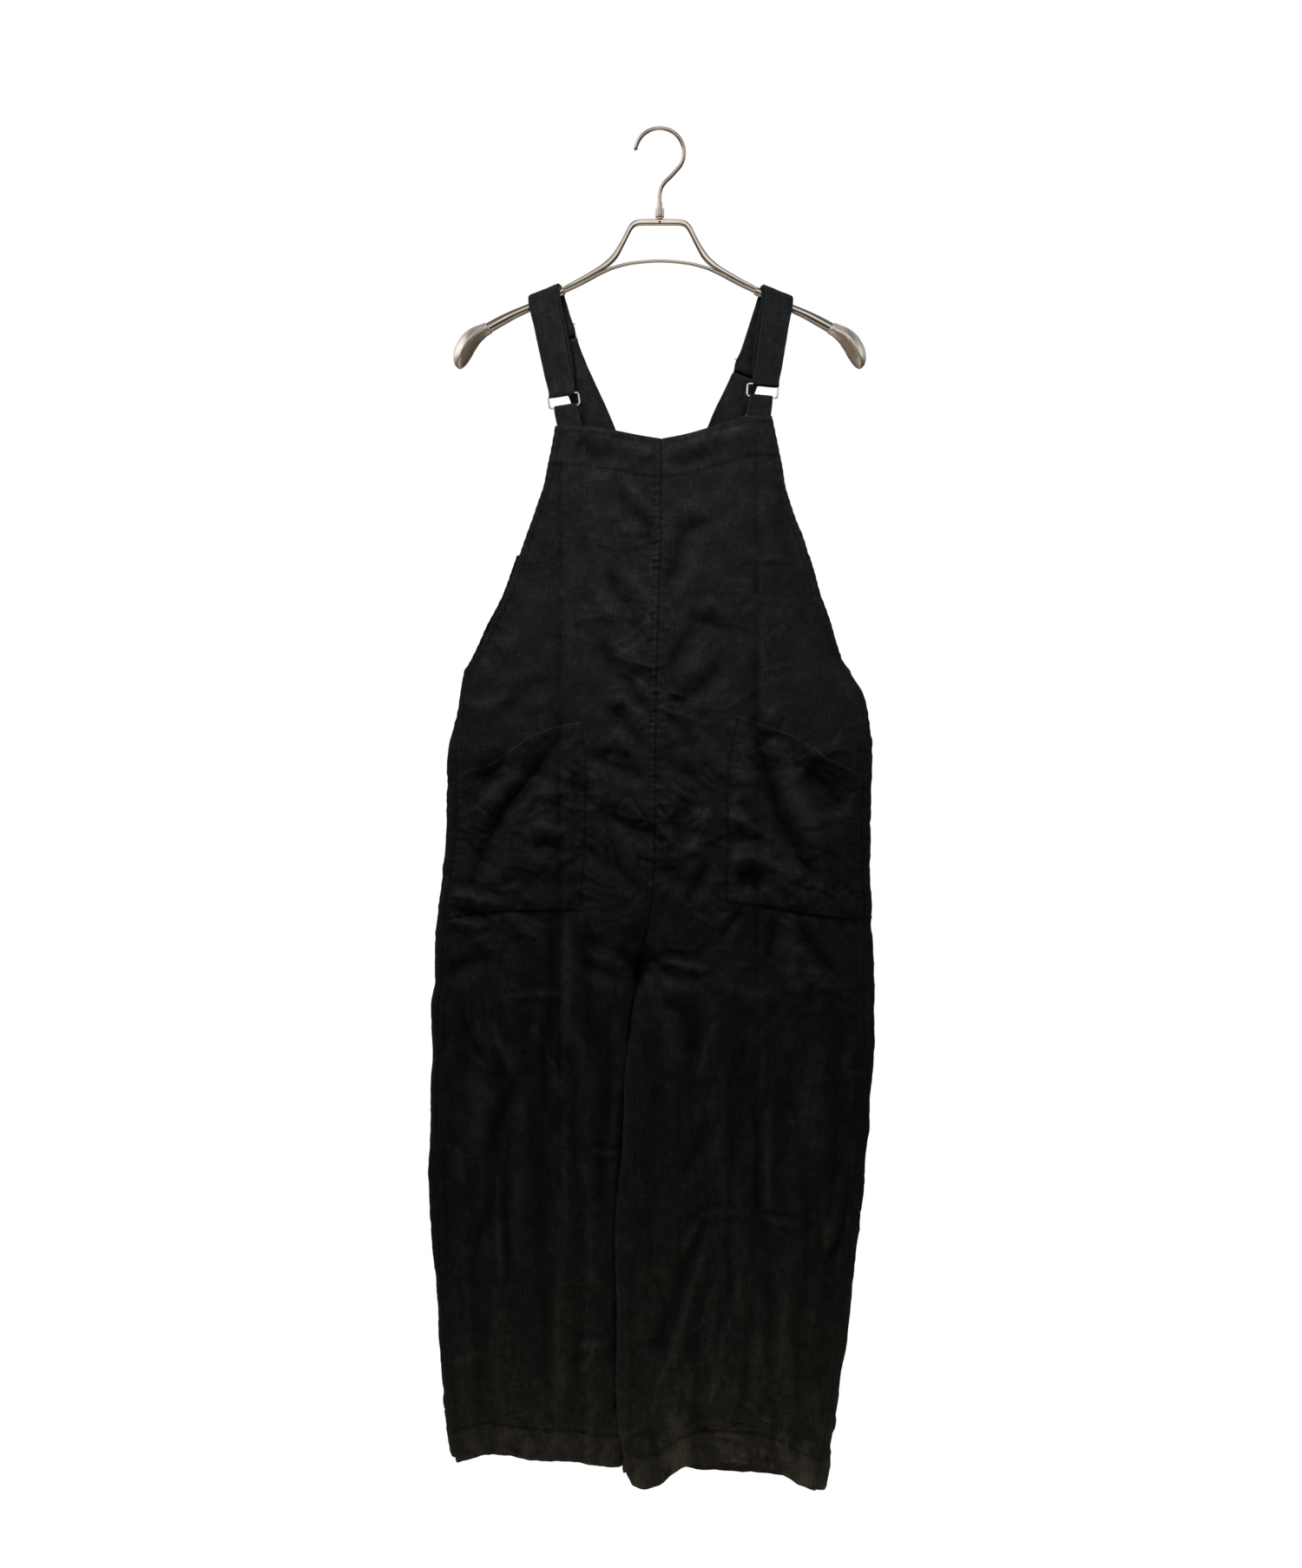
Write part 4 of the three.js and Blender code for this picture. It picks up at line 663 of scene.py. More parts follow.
def panelBase(side, face, levels, parts):
    # The smooth form of a panel. Rows near its top and its hem follow those edges' tables.
    centre = faceSign[face] * np.pi / 2
    level = levels[:, None] + 0 * parts
    part = parts + 0 * level
    share = np.cos(mix(seamAngle(level), centre, part))
    topZ = curveAt(edges["bibTop" if face == "front" else "backTop"], "share", side, share)
    hemZ = curveAt(edges[face + "Hem"], "share", side, share)
    topPart = smooth(1 - (levels[0] - level) / garment["topFade"])
    hemPart = smooth(1 - (level - garment["hemLevel"]) / garment["hemFade"])
    z = level + topPart * (topZ - levels[0]) + hemPart * (hemZ - garment["hemLevel"])
    grid = bodySurface(side, face, mix(seamAngle(z), centre, part), z)
    return grid, topZ - z, z - hemZ


def creaseRelief(x, z):
    # Pressed lines with an uneven depth along them.
    relief = np.zeros_like(x)
    for k, (across, place, span, deep) in enumerate(storageCreases):
        distance = (x if across == "x" else z) - place
        along = z if across == "x" else x
        low, high = min(span), max(span)
        fade = smooth((along - low) / storage["endFade"]) * smooth((high - along) / storage["endFade"])
        wander = storage["wander"] * softNoise(along / storage["wanderPitch"], along * 0, 300 + k)
        weak = softNoise(along / storage["weakPitch"], along * 0, 320 + k)
        pressed = pressedLine(distance + wander, deep, storage["wide"])
        relief += fade * np.clip(0.75 + 0.8 * weak, 0, 1.4) * pressed
    return relief


# Where the cloth is crumpled most: x and z of the spot, its half width and height, how much.
busySpots = {
    "middle": (-0.005, -0.700, 0.095, 0.150, 0.75), "chest": (-0.005, -0.510, 0.060, 0.100, 0.40),
    "hips": (0.170, -0.770, 0.070, 0.120, 0.45),   # the same on both sides
}


def busyMap(x, z):
    # How crumpled the cloth is: least on the bib and down the legs, and a little more at the hem.
    busy = 0.30 + 0.30 * beneath(z, -1.24, 0.10)
    for name, (atX, atZ, wide, high, amount) in busySpots.items():
        across = np.abs(x) if name == "hips" else x
        busy = busy + amount * bell((across - atX) / wide) * bell((z - atZ) / high)
    return busy


def panelRelief(side, face, grid, fromSide, fromCentre, fromTop, fromHem):
    # Everything that the cloth adds to its smooth form, along its normal, and the painted shade and
    # highlight of its folds and pressed creases.
    x, z = grid[..., 0], grid[..., 2]
    seed = 10 if face == "front" else 50
    folds = frontFolds if face == "front" else backFolds
    relief, tone = foldRelief(folds, x, z)
    relief += crumpleRelief(x, z, seed, busyMap(x, z))
    pressed = creaseRelief(x, z) * (1 if face == "front" else 0.7)
    # Pressed creases get painted shade along their lines as well.
    relief, tone = relief + pressed, tone + np.clip(pressed / 0.0013, -1, 0)
    onBib = bibPart(z)
    belowFork = beneath(z, garment["forkTop"][face] + 0.01, 0.03)
    free = mix(1, smooth(fromCentre / panel["keepClear"]), belowFork)
    free *= mix(smooth(fromSide / 0.010), smooth(fromSide / 0.020 + 0.45), onBib)
    free *= 0.25 + 0.75 * smooth(fromTop / 0.016)
    relief, tone = relief * free, tone * free

    seamed = (1 - belowFork) * smooth((fromTop - 0.001) / 0.008)
    if side == "left":
        relief += seamed * band(fromCentre, panel["centreStitch"], 0.0005)
        relief += seamed * groove(fromCentre - panel["centreStitch"])
        weaker = mix(1, 0.35, beneath(z, -0.65, 0.05))
        relief += seamed * weaker * puckers("centreHem", z, fromCentre, seed + 20)
    relief += seamed * puckers("centre", z, fromCentre, seed + 24)
    relief += seamed * edgeDip(fromCentre, panel["seamDip"], panel["seamRound"])

    facing = panel["facing"] if face == "front" else panel["backFacing"]
    relief += turnedEdge("facing", fromTop, facing, x, seed + 28)
    relief += groove(fromTop - panel["topStitch"], 0.0003)
    relief += onBib * turnedEdge("armhole", fromSide, panel["armholeHem"], z, seed + 32)

    sewn = 1 - onBib
    relief += sewn * edgeDip(fromSide, panel["seamDip"], panel["seamRound"])
    relief += sewn * puckers("side", z, fromSide, seed + 36)
    if face == "front":
        relief += sewn * groove(fromSide - panel["sideStitch"], 0.0004)

    relief += turnedEdge("hem", fromHem, panel["hemDepth"], x, seed + 40)
    relief += 0.0011 * softNoise(x / 0.016, z / 0.06, seed + 44) * smooth((0.040 - fromHem) / 0.03)
    return relief, tone


def panelGrid(side, face):
    # The finished outer surface of a panel, with the distances to its edges and its own lengths.
    levels = rowLevels(face)
    parts = columnParts(panel["columns"][face])
    base, fromTop, fromHem = panelBase(side, face, levels, parts)
    fromSide = gridSteps(base, 1)
    fromCentre = fromSide[:, -1:] - fromSide
    down = gridSteps(base, 0)
    normals = gridNormals(base, faceSign[face])
    relief, tone = panelRelief(side, face, base, fromSide, fromCentre, fromTop, fromHem)
    grid = base + normals * relief[..., None]
    x, z = base[..., 0], base[..., 2]
    onBib = bibPart(z)
    scallop = np.sin(2 * np.pi * (z / 0.0078 + 0.8 * softNoise(z / 0.04, fromSide * 0, 90)))
    grid[..., 0] += sideSign[side] * 0.00022 * scallop * onBib * bell(fromSide / 0.004)
    grid[..., 2] += 0.0009 * softNoise(x / 0.009, fromHem * 0, 91) * bell(fromHem / 0.006)
    doubled = np.maximum(smooth((0.006 - fromTop) / 0.002), smooth((0.033 - fromHem) / 0.002))
    doubled = np.maximum(doubled, onBib * smooth((0.008 - fromSide) / 0.002))
    thick = mix(garment["clothThick"], garment["hemThick"], doubled)
    uv = np.stack([sideSign[side] * fromCentre, -down], axis=-1)
    # Painted shade in troughs and pressed creases and painted highlights on crests, weaker near seams and
    # stronger on the legs and round the hips; the hem band lighter, partly as painted light from below
    # and partly as wear; and lighter top and armhole edges.
    worn = crests(relief) * np.clip(np.minimum(fromSide, fromCentre) / paintedShadeAndWearAmounts["seamCalm"], 0.3, 1)
    worn = worn * (1 + paintedShadeAndWearAmounts["legs"] * beneath(z, -0.80, 0.12)) + tone
    worn *= 1 + paintedShadeAndWearAmounts["hips"] * bell((z - paintedShadeAndWearAmounts["hipLevel"]) / paintedShadeAndWearAmounts["hipReach"])
    worn += paintedShadeAndWearAmounts["hem"] * smooth((0.031 - fromHem) / 0.002) + paintedShadeAndWearAmounts["topEdge"] * bell(fromTop / 0.0020)
    worn += paintedShadeAndWearAmounts["armholeEdge"] * onBib * bell(fromSide / 0.0015)
    return {
        "grid": grid, "normals": gridNormals(grid, faceSign[face]), "levels": levels, "parts": parts,
        "fromSide": fromSide, "fromCentre": fromCentre, "fromTop": fromTop, "fromHem": fromHem,
        "thick": thick, "uv": uv, "worn": worn,
    }


def sampleGrid(values, i, j):
    # Values between a grid's points, mixed from the four round each place.
    i = np.clip(i, 0, values.shape[0] - 1.001)
    j = np.clip(j, 0, values.shape[1] - 1.001)
    a, b = i.astype(int), j.astype(int)
    u, v = (i - a)[..., None], (j - b)[..., None]
    values = values if values.ndim == 3 else values[..., None]
    low = values[a, b] * (1 - v) + values[a, b + 1] * v
    high = values[a + 1, b] * (1 - v) + values[a + 1, b + 1] * v
    return low * (1 - u) + high * u


def crossing(distance, target):
    # For each row, the column, with its fraction, where a growing distance reaches a value.
    count = np.clip(np.sum(distance < target, axis=1), 1, distance.shape[1] - 1)
    rows = np.arange(len(distance))
    a, b = distance[rows, count - 1], distance[rows, count]
    return count - 1 + np.clip((target - a) / np.maximum(b - a, 1e-9), 0, 1)


def joinGrids(walls):
    # One list of points, faces, UVs and painted shade and wear from several closed walls. The inside gets
    # none.
    points, quads, uvs, paintedShadesAndWears, start = [], [], [], [], 0
    for grid, inner, uv, worn in walls:
        rows, columns = grid.shape[:2]
        block = np.concatenate([grid.reshape(-1, 3), inner.reshape(-1, 3)])
        quads.append(faceOut(block, wallQuads(rows, columns)) + start)
        points.append(block)
        uvs.append(np.tile(uv.reshape(-1, 2), (2, 1)))
        outside = np.broadcast_to(worn, (rows, columns)).ravel()
        paintedShadesAndWears.append(np.concatenate([outside, 0 * outside]))
        start += len(block)
    return tuple(np.concatenate(values) for values in (points, quads, uvs, paintedShadesAndWears))


def innerGrid(grid, normals, thick):
    # The surface moved in along its normals by the cloth's thickness.
    return grid - normals * np.asarray(thick)[..., None]


panels = {}
for side in sideSign:
    for face in faceSign:
        panels[side, face] = panelGrid(side, face)
print("panel surfaces worked out")


def seamPoint(data, name, away, z, sink):
    # Points at a distance from one of a panel's edges, sunk below its surface.
    i = np.interp(-z, -data["levels"], np.arange(len(data["levels"])))
    distance = data[name][:, ::-1] if name == "fromCentre" else data[name]
    j = crossing(distance, away)
    j = distance.shape[1] - 1 - j if name == "fromCentre" else j
    j = np.interp(i, np.arange(len(j)), j)
    return sampleGrid(data["grid"], i, j) - sampleGrid(data["normals"], i, j) * sink


def seamStrip(name, first, second, top, bottom):
    # A seam's turned cloth: it lies a little way behind one panel and further behind the other.
    columns = [(first, 0.0018), (first, 0.0006)]
    columns += [(second, away) for away in (0.0006, 0.003, 0.006, panel["allowance"])]
    z = np.arange(top, bottom, -0.003)
    outer, inner = (np.stack([seamPoint(data, name, away, z, sink) for data, away in columns], axis=1)
                    for sink in (panel["stripSink"], panel["stripSink"] + garment["clothThick"]))
    uv = np.stack(np.broadcast_arrays(np.arange(len(columns)) * 0.002, outer[..., 2]), axis=-1)
    # Its cloth is painted darker, as painted shade behind the seam.
    return outer, inner, uv, -0.6


# Fastened with thread: rows of stitches that lie in their grooves

stitches = {
    "pitch": 0.0034, "long": 0.0026, "radius": 0.00022, "proud": 0.00010, "flat": 1.3,
    "rings": ((0.0, 0.45, -1.1), (0.22, 1.0, 0.3), (0.78, 1.0, 0.3), (1.0, 0.45, -1.1)),
}
stitchRows = []


def sewRow(points, normals):
    # Remembers a row of stitches: their two ends and the cloth's normal, evenly along a line.
    run, long = runAlong(points), stitches["long"]
    start = np.arange(0, run[-1] - long, stitches["pitch"])

    def at(values, more):
        return np.stack([np.interp(start + more, run, column) for column in values.T], axis=-1)

    stitchRows.append((at(points, 0), at(points, long), unit(at(normals, long / 2))))


def sewAlong(data, name, target, axis, low=-np.inf, high=np.inf):
    # A row of stitches at a constant distance from an edge, between two heights.
    away = data[name] if axis == 1 else data[name].T
    backwards = away[0, 0] > away[0, -1]
    at = crossing(away[:, ::-1] if backwards else away, target)
    at = away.shape[1] - 1 - at if backwards else at
    along = np.arange(len(at), dtype=float)
    i, j = (along, at) if axis == 1 else (at, along)
    points = sampleGrid(data["grid"], i, j)
    normals = sampleGrid(data["normals"], i, j)
    keep = (points[:, 2] > low) & (points[:, 2] < high)
    if keep.sum() > 4:
        sewRow(points[keep], normals[keep])


def stitchMesh():
    # Each stitch is a bead of four rings with four sides: its ends sink into the cloth. A ring is
    # (part of the length, size, rise in radii).
    a, b, normal = (np.concatenate([row[k] for row in stitchRows]) for k in range(3))
    along = unit(b - a)
    across = unit(np.cross(normal, along))
    rings = []
    for part, size, rise in stitches["rings"]:
        centre = mix(a, b, part) + normal * (stitches["proud"] + rise * stitches["radius"])
        for turn in range(4):
            angle = np.pi / 4 + turn * np.pi / 2
            off = across * np.cos(angle) * stitches["flat"] + normal * np.sin(angle)
            rings.append(centre + off * size * stitches["radius"])
    points = np.stack(rings, axis=1)
    one = []
    for low in (0, 4, 8):
        for turn in range(4):
            onward = (turn + 1) % 4
            one.append([low + turn, low + onward, low + 4 + onward, low + 4 + turn])
    one += [[3, 2, 1, 0], [12, 13, 14, 15]]
    one = faceOut(points[0], np.array(one))
    quads = (one[None] + 16 * np.arange(len(points))[:, None, None]).reshape(-1, 4)
    return meshPiece("stitching", points.reshape(-1, 3), quads, sharp=180)


for (side, face), data in panels.items():
    if side == "left":
        forkTop = garment["forkTop"][face]
        sewAlong(data, "fromCentre", panel["centreStitch"], 1, forkTop)
        sewAlong(data, "fromCentre", panel["seamStitch"], 1, forkTop)
    sewAlong(data, "fromSide", panel["armholeHem"], 1, garment["sideSeamTop"])
    if face == "front":
        sewAlong(data, "fromSide", panel["sideStitch"], 1, -1.34, garment["sideSeamTop"] - 0.01)
    sewAlong(data, "fromTop", panel["topStitch"], 0)
    sewAlong(data, "fromTop", panel["facing"] if face == "front" else panel["backFacing"], 0)
    sewAlong(data, "fromHem", panel["hemDepth"], 0)

clothPieces = {}
for (side, face), data in panels.items():
    inner = innerGrid(data["grid"], data["normals"], data["thick"])
    walls = [(data["grid"], inner, data["uv"], data["worn"])]
    if side == "left":
        top = data["levels"][0] - 0.0003
        walls.append(seamStrip("fromCentre", panels["right", face], data, top, garment["crotch"] - 0.001))
    if face == "front":
        top = garment["sideSeamTop"] - 0.006
        walls.append(seamStrip("fromSide", data, panels[side, "back"], top, -1.345))
    name = face + side.capitalize()
    clothPieces[name] = meshPiece(name, *joinGrids(walls))
    print(name, 2 * len(clothPieces[name].data.polygons), "triangles")


# Patch pockets

pocket = {
    "columns": 74, "rows": 116, "parts": 0.735, "inset": 0.014,
    "lift": 0.0013, "mouth": 0.0044, "mouthDeep": 0.016, "edgeStitch": 0.0022, "mouthHem": 0.020,
    "seeds": {"right": 130, "left": 150},
}

pocketEdges = {
    "right": table("share top bottom", [
        (0, -600, -788), (0.32, -615, -792), (0.68, -639, -802), (1, -660, -806),
    ]),
    "left": table("share top bottom", [
        (0, -606, -796), (0.22, -612, -796), (0.62, -640, -797), (1, -660, -806),
    ]),
}


def pocketGrid(side):
    # A patch of the front's own surface, moved out along its normals. The mouth stands off it.
    data = panels[side, "front"]
    turn, centre = garment["seamTurn"], -np.pi / 2
    part = np.linspace(0, pocket["parts"], pocket["columns"])[None, :]
    drop = np.linspace(0, 1, pocket["rows"])[:, None]
    across = np.cos(mix(-turn, centre, part))
    low, high = np.cos(mix(-turn, centre, pocket["parts"])), np.cos(turn)
    share = (across - low) / (high - low)
    top = curveAt(pocketEdges[side], "share", "top", share)
    bottom = curveAt(pocketEdges[side], "share", "bottom", share)
    z = mix(top, bottom, drop)
    inset = pocket["inset"] / (np.pi / 2 - turn)
    i = np.interp(-z, -data["levels"], np.arange(len(data["levels"])))
    place = inset + (1 - inset / pocket["parts"]) * (part + 0 * z)
    j = np.interp(place, data["parts"], np.arange(len(data["parts"])))
    under = sampleGrid(data["grid"], i, j)
    normals = sampleGrid(data["normals"], i, j)
    fromOuter = gridSteps(under, 1)
    fromInner = fromOuter[:, -1:] - fromOuter
    fromMouth = gridSteps(under, 0)
    fromBottom = fromMouth[-1:] - fromMouth
    gape = smooth(4 * share) * smooth(5 * (1 - share))
    mouth = gape * (pocket["mouth"] * np.exp(-(fromMouth / pocket["mouthDeep"]) ** 1.6) + 0.0004)
    seed = pocket["seeds"][side]
    edge = np.minimum(np.minimum(fromOuter, fromInner), fromBottom)
    free = smooth(edge / 0.012)
    x = under[..., 0]
    own = crumpleRelief(x, z, seed, 0.6 + 0 * x)
    relief = pocket["lift"] + mouth + free * (0.0006 + np.maximum(0.6 * own, -0.0008))
    relief += groove(edge - pocket["edgeStitch"], 0.0004) + edgeDip(edge, 0.0006, 0.0012)
    run = np.where(fromBottom < np.minimum(fromOuter, fromInner), x, z)
    relief += np.maximum(puckers("pocket", run, edge, seed + 4), -0.0002)
    relief += groove(fromMouth - pocket["mouthHem"], 0.0003) * 0.7
    relief += band(fromMouth, pocket["mouthHem"], 0.0003) + edgeDip(fromMouth, 0.0003, 0.0010)
    grid = under + normals * relief[..., None]
    uv = np.stack([sideSign[side] * fromInner + 0.5, -fromMouth], axis=-1)
    # The panel's painted shade and wear, the pocket's own crests, a painted highlight along the mouth's
    # edge, painted shade under the mouth, a painted highlight along the stitched band and a painted
    # shadow just inside the edges.
    worn = sampleGrid(data["worn"], i, j)[..., 0] + 0.5 * crests(relief)
    worn += paintedShadeAndWearAmounts["mouthEdgeHighlight"] * bell(fromMouth / 0.0012)
    worn -= paintedShadeAndWearAmounts["mouthShade"] * gape * bell((fromMouth - 0.007) / 0.006)
    worn += paintedShadeAndWearAmounts["pocketBand"] * bell((edge - 0.0030) / 0.0012)
    worn -= paintedShadeAndWearAmounts["pocketEdge"] * bell(edge / 0.0010) * (fromMouth > 0.003)
    return {"grid": grid, "normals": gridNormals(grid, -1), "worn": worn, "fromMouth": fromMouth,
            "fromOuter": fromOuter, "fromInner": fromInner, "fromBottom": fromBottom, "uv": uv}


for side in sideSign:
    data = pocketGrid(side)
    inner = innerGrid(data["grid"], data["normals"], garment["pocketThick"])
    name = "pocket" + side.capitalize()
    clothPieces[name] = meshPiece(name, *joinGrids([(data["grid"], inner, data["uv"], data["worn"])]))
    for line in ("fromOuter", "fromInner"):
        sewAlong(data, line, pocket["edgeStitch"], 1)
    sewAlong(data, "fromBottom", pocket["edgeStitch"], 0)
    sewAlong(data, "fromMouth", pocket["mouthHem"], 0)
    print(name, 2 * len(clothPieces[name].data.polygons), "triangles")


# Straps and tabs: ribbons along a line of stations

ribbon = {
    "thick": 0.0012, "clear": 0.0003, "strapWide": 0.0292, "ringWide": 0.0268, "backWide": 0.0325,
    "tabWide": 0.025, "tabTurnWide": 0.0235, "peek": 0.0042, "columns": 20, "step": 0.0022,
    "stitchInset": 0.0024,
}
ring = {"wide": 0.031, "high": 0.0126, "corner": 0.0024, "wire": 0.001, "plane": -0.007}
slider = {
    "wide": 0.0365, "frame": 0.0302, "high": 0.020, "thick": 0.0016, "bar": 0.0016,
    "corner": 0.0025, "level": 0.003,
}
armRadius = 0.004
turnRadius = ring["wire"] + ribbon["clear"] + ribbon["thick"] / 2
underTurn = armRadius + 0.0004 + ribbon["thick"] / 2
overTurn = underTurn + ribbon["thick"] + ribbon["clear"]
lean = {"front": np.radians(12), "top": np.radians(24), "back": np.radians(20)}

straps = {
    "right": {
        "front": table("z x", [(-168, 122.4), (-209, 116.3), (-244, 111), (-262, 108.4)]),
        "back": table("z x", [(-168, 116.5), (-239, 93.5), (-266, 82.5), (-304, 66), (-440, 16)]),
        "armZ": -0.1702, "ringAt": (0.1048, -0.2676), "ringTilt": np.radians(-5), "onRing": 0.0030,
        "tab": table("z x", [(-262, 103.8), (-293, 100.8), (-330, 97)]),
        "slider": -0.248,
    },
    "left": {
        "front": table("z x", [(-168, -120.4), (-213, -111.8), (-249, -104.4), (-272, -99.7)]),
        "back": table("z x", [(-168, -113), (-239, -91.2), (-272, -77.7), (-308, -61.4), (-440, -13)]),
        "armZ": -0.1693, "ringAt": (-0.0977, -0.2776), "ringTilt": np.radians(8.7), "onRing": -0.0013,
        "tab": table("z x", [(-272, -97.5), (-303, -92), (-338, -86.5)]),
        "slider": -0.212,
    },
}


def lineAt(rows, z):
    # Where a strap's or a tab's line lies at a height.
    return curveAt(rows, "z", "x", np.asarray(z, float))


def halfTurn(x, y, z, radius, first, last, tilt, wide, steps=14):
    # Stations round a wire or a bar that lies along X, from one angle to another.
    a = np.linspace(first, last, steps)
    x, tilt = x + 0 * a, tilt + 0 * a
    return np.stack([x, y + radius * np.cos(a), z + radius * np.sin(a), tilt, wide + 0 * a], axis=-1)


def strapStations(side):
    # One strap as a single ribbon: from inside the back up through its slider, over the hanger's
    # arm, down the front, round the ring and back the same way underneath, to the slider's bar.
    # A station is (x, y, z, tilt, width).
    rig, sign = straps[side], sideSign[side]
    frontTilt, topTilt, backTilt = (-sign * lean[name] for name in ("front", "top", "back"))
    tilt, wide, armZ = rig["ringTilt"], ribbon["strapWide"], rig["armZ"]
    backX, frontX = (lambda z, rows=rig[name]: lineAt(rows, z) for name in ("back", "front"))
    barX = rig["ringAt"][0] - ring["high"] / 2 * np.sin(tilt)
    barZ = rig["ringAt"][1] + ring["high"] / 2 * np.cos(tilt)
    pitch = (slider["high"] - slider["bar"]) / 2
    behind = slider["level"] - slider["thick"] / 2 - ribbon["clear"] - ribbon["thick"] / 2
    at, squeeze = rig["slider"], ribbon["ringWide"]

    upZ = np.array([-0.440, -0.420, -0.385, -0.340, -0.300, at - pitch - 0.006, at - pitch + 0.002,
                    at - 0.001, at + 0.005, at + pitch + 0.006])
    upY = np.array([0.008, 0.008, 0.007, 0.005, 0.003, behind, behind, overTurn + 0.0004,
                    overTurn + 0.0003, overTurn])
    broad = mix(wide, ribbon["backWide"], beneath(upZ, -0.25, 0.06))
    up = np.stack([backX(upZ), upY, upZ, backTilt + 0 * upZ, broad], axis=-1)

    def leanOver(across):
        early = mix(backTilt, topTilt, smooth(across * 2))
        return np.where(across < 0.5, early, mix(topTilt, frontTilt, smooth(across * 2 - 1)))

    across = np.linspace(0, 1, 14)
    over = halfTurn(mix(backX(armZ), frontX(armZ), across), 0, armZ, overTurn, 0, np.pi,
                    leanOver(across), wide)

    def hanging(part, armY, ringY, shift):
        z = mix(armZ, barZ, part)
        return np.stack([frontX(z) + shift, mix(armY, ringY, smooth(part)), z,
                         mix(frontTilt, tilt, smooth(part)), mix(wide, squeeze, part)], axis=-1)

    down = hanging(np.array([0.3, 0.55, 0.8]), -overTurn, ring["plane"] - turnRadius, 0)
    turn = halfTurn(barX + rig["onRing"], ring["plane"], barZ, turnRadius, -np.pi, 0, tilt, squeeze, 10)
    part = np.array([0.8, 0.55, 0.3])
    shift = -sign * ribbon["peek"] * smooth((1 - part) * 3)
    frontUnder = hanging(part, -underTurn, ring["plane"] + turnRadius, shift)
    under = halfTurn(mix(frontX(armZ) - sign * ribbon["peek"], backX(armZ), across), 0, armZ,
                     underTurn, np.pi, 0, leanOver(1 - across), wide)
    lastZ = at + pitch + 0.004
    backUnder = np.array([[backX(lastZ), underTurn, lastZ, backTilt, wide]])
    loop = halfTurn(backX(at), slider["level"], at, underTurn - slider["level"], 0, -np.pi,
                    backTilt, wide, 10)
    tuckZ = at + 0.017
    tuck = np.array([[backX(tuckZ), behind, tuckZ, backTilt, wide]])
    return np.concatenate([up, over, down, turn, frontUnder, under, backUnder, loop, tuck])


def tabStations(side):
    # A bib tab: sewn behind the bib, up round the ring's lower bar, and down again in front.
    rig = straps[side]
    tilt = rig["ringTilt"]
    barX = rig["ringAt"][0] + ring["high"] / 2 * np.sin(tilt)
    barZ = rig["ringAt"][1] - ring["high"] / 2 * np.cos(tilt)
    foot = rig["tab"]["z"][-1]
    z = mix(foot, barZ, np.array([0, 0.3, 0.62]))
    flat = 0 * z
    runs = [np.stack([lineAt(rig["tab"], z), y + flat, z, tilt + flat, ribbon["tabWide"] + flat], axis=-1)
            for y in (ring["plane"] + turnRadius, ring["plane"] - turnRadius)]
    turnX = mix(lineAt(rig["tab"], barZ), barX, 0.5)
    turn = halfTurn(turnX, ring["plane"], barZ, turnRadius, 0, np.pi, tilt, ribbon["tabTurnWide"], 10)
    return np.concatenate([runs[0], turn, runs[1][::-1]])


def ribbonPiece(name, stations, seed):
    # A flat ribbon on a smooth curve through its stations, with soft edges and a row of stitches
    # drawn in along each. Its width is tilted in the XZ plane.
    chord = runAlong(stations[:, :3])
    rows = dict(zip(("s", "x", "y", "z", "tilt", "wide"), np.column_stack([chord, stations]).T))
    s = np.linspace(0, chord[-1], int(chord[-1] / ribbon["step"]))
    x, y, z, tilt, wide = (curveAt(rows, "s", key, s) for key in ("x", "y", "z", "tilt", "wide"))
    centre = np.stack([x, y, z], axis=-1)
    along = unit(np.gradient(centre, axis=0))
    across = np.stack([np.cos(tilt), 0 * s, np.sin(tilt)], axis=-1)
    through = unit(np.cross(along, across))
    # Shares of the way out to an edge, a little closer together near both.
    even = np.linspace(-1, 1, ribbon["columns"])[None, :]
    c = 0.35 * np.sin(even * np.pi / 2) + 0.65 * even
    half = wide[:, None] / 2
    down, out = s[:, None], c * half
    edge = half * (1 - np.abs(c))
    uneven = 1 + 0.012 * softNoise(down / 0.010, np.sign(c) * 3, seed)
    soft = ribbon["thick"] / 2 * (0.30 + 0.70 * np.sqrt(1 - np.abs(c) ** 12))
    soft = soft + 0.6 * groove(edge - ribbon["stitchInset"], 0.0003, 0.0009)
    soft = soft + 0.00006 * softNoise(down / 0.006, out / 0.006, seed + 1)
    wave = 0.00016 * softNoise(down / 0.012, out / 0.007, seed + 3) * (1 - np.abs(c) ** 6)
    bent = centre[:, None] + across[:, None] * (out * uneven)[..., None]
    bent = bent + through[:, None] * wave[..., None]
    rise = through[:, None] * soft[..., None]
    uv = np.stack(np.broadcast_arrays(out, down), axis=-1)
    # A painted highlight along each edge, partly edge wear, and uneven tone at random.
    worn = 1.5 * bell(edge / 0.0012) + 0.5 * softNoise(down / 0.009, out / 0.005, seed + 2)
    clothPieces[name] = meshPiece(name, *joinGrids([(bent + rise, bent - rise, uv, worn)]))
    for sign in (-1, 1):
        inset = sign * (half[:, 0] - ribbon["stitchInset"])
        line = centre + across * inset[:, None]
        for face in (-1, 1):
            sewRow(line + face * through * ribbon["thick"] * 0.36, face * through)
    print(name, round(chord[-1], 3), "m long")


for number, side in enumerate(sideSign):
    ribbonPiece("strap" + side.capitalize(), strapStations(side), 200 + 10 * number)
    ribbonPiece("tab" + side.capitalize(), tabStations(side), 240 + 10 * number)
stitching = stitchMesh()
print("stitching", len(stitching.data.polygons) * 2, "triangles")


# Metal: sweeps of a closed section along a path

def signedPower(values, power):
    # The size of each value to a power, with the value's own sign.
    return np.sign(values) * np.abs(values) ** power


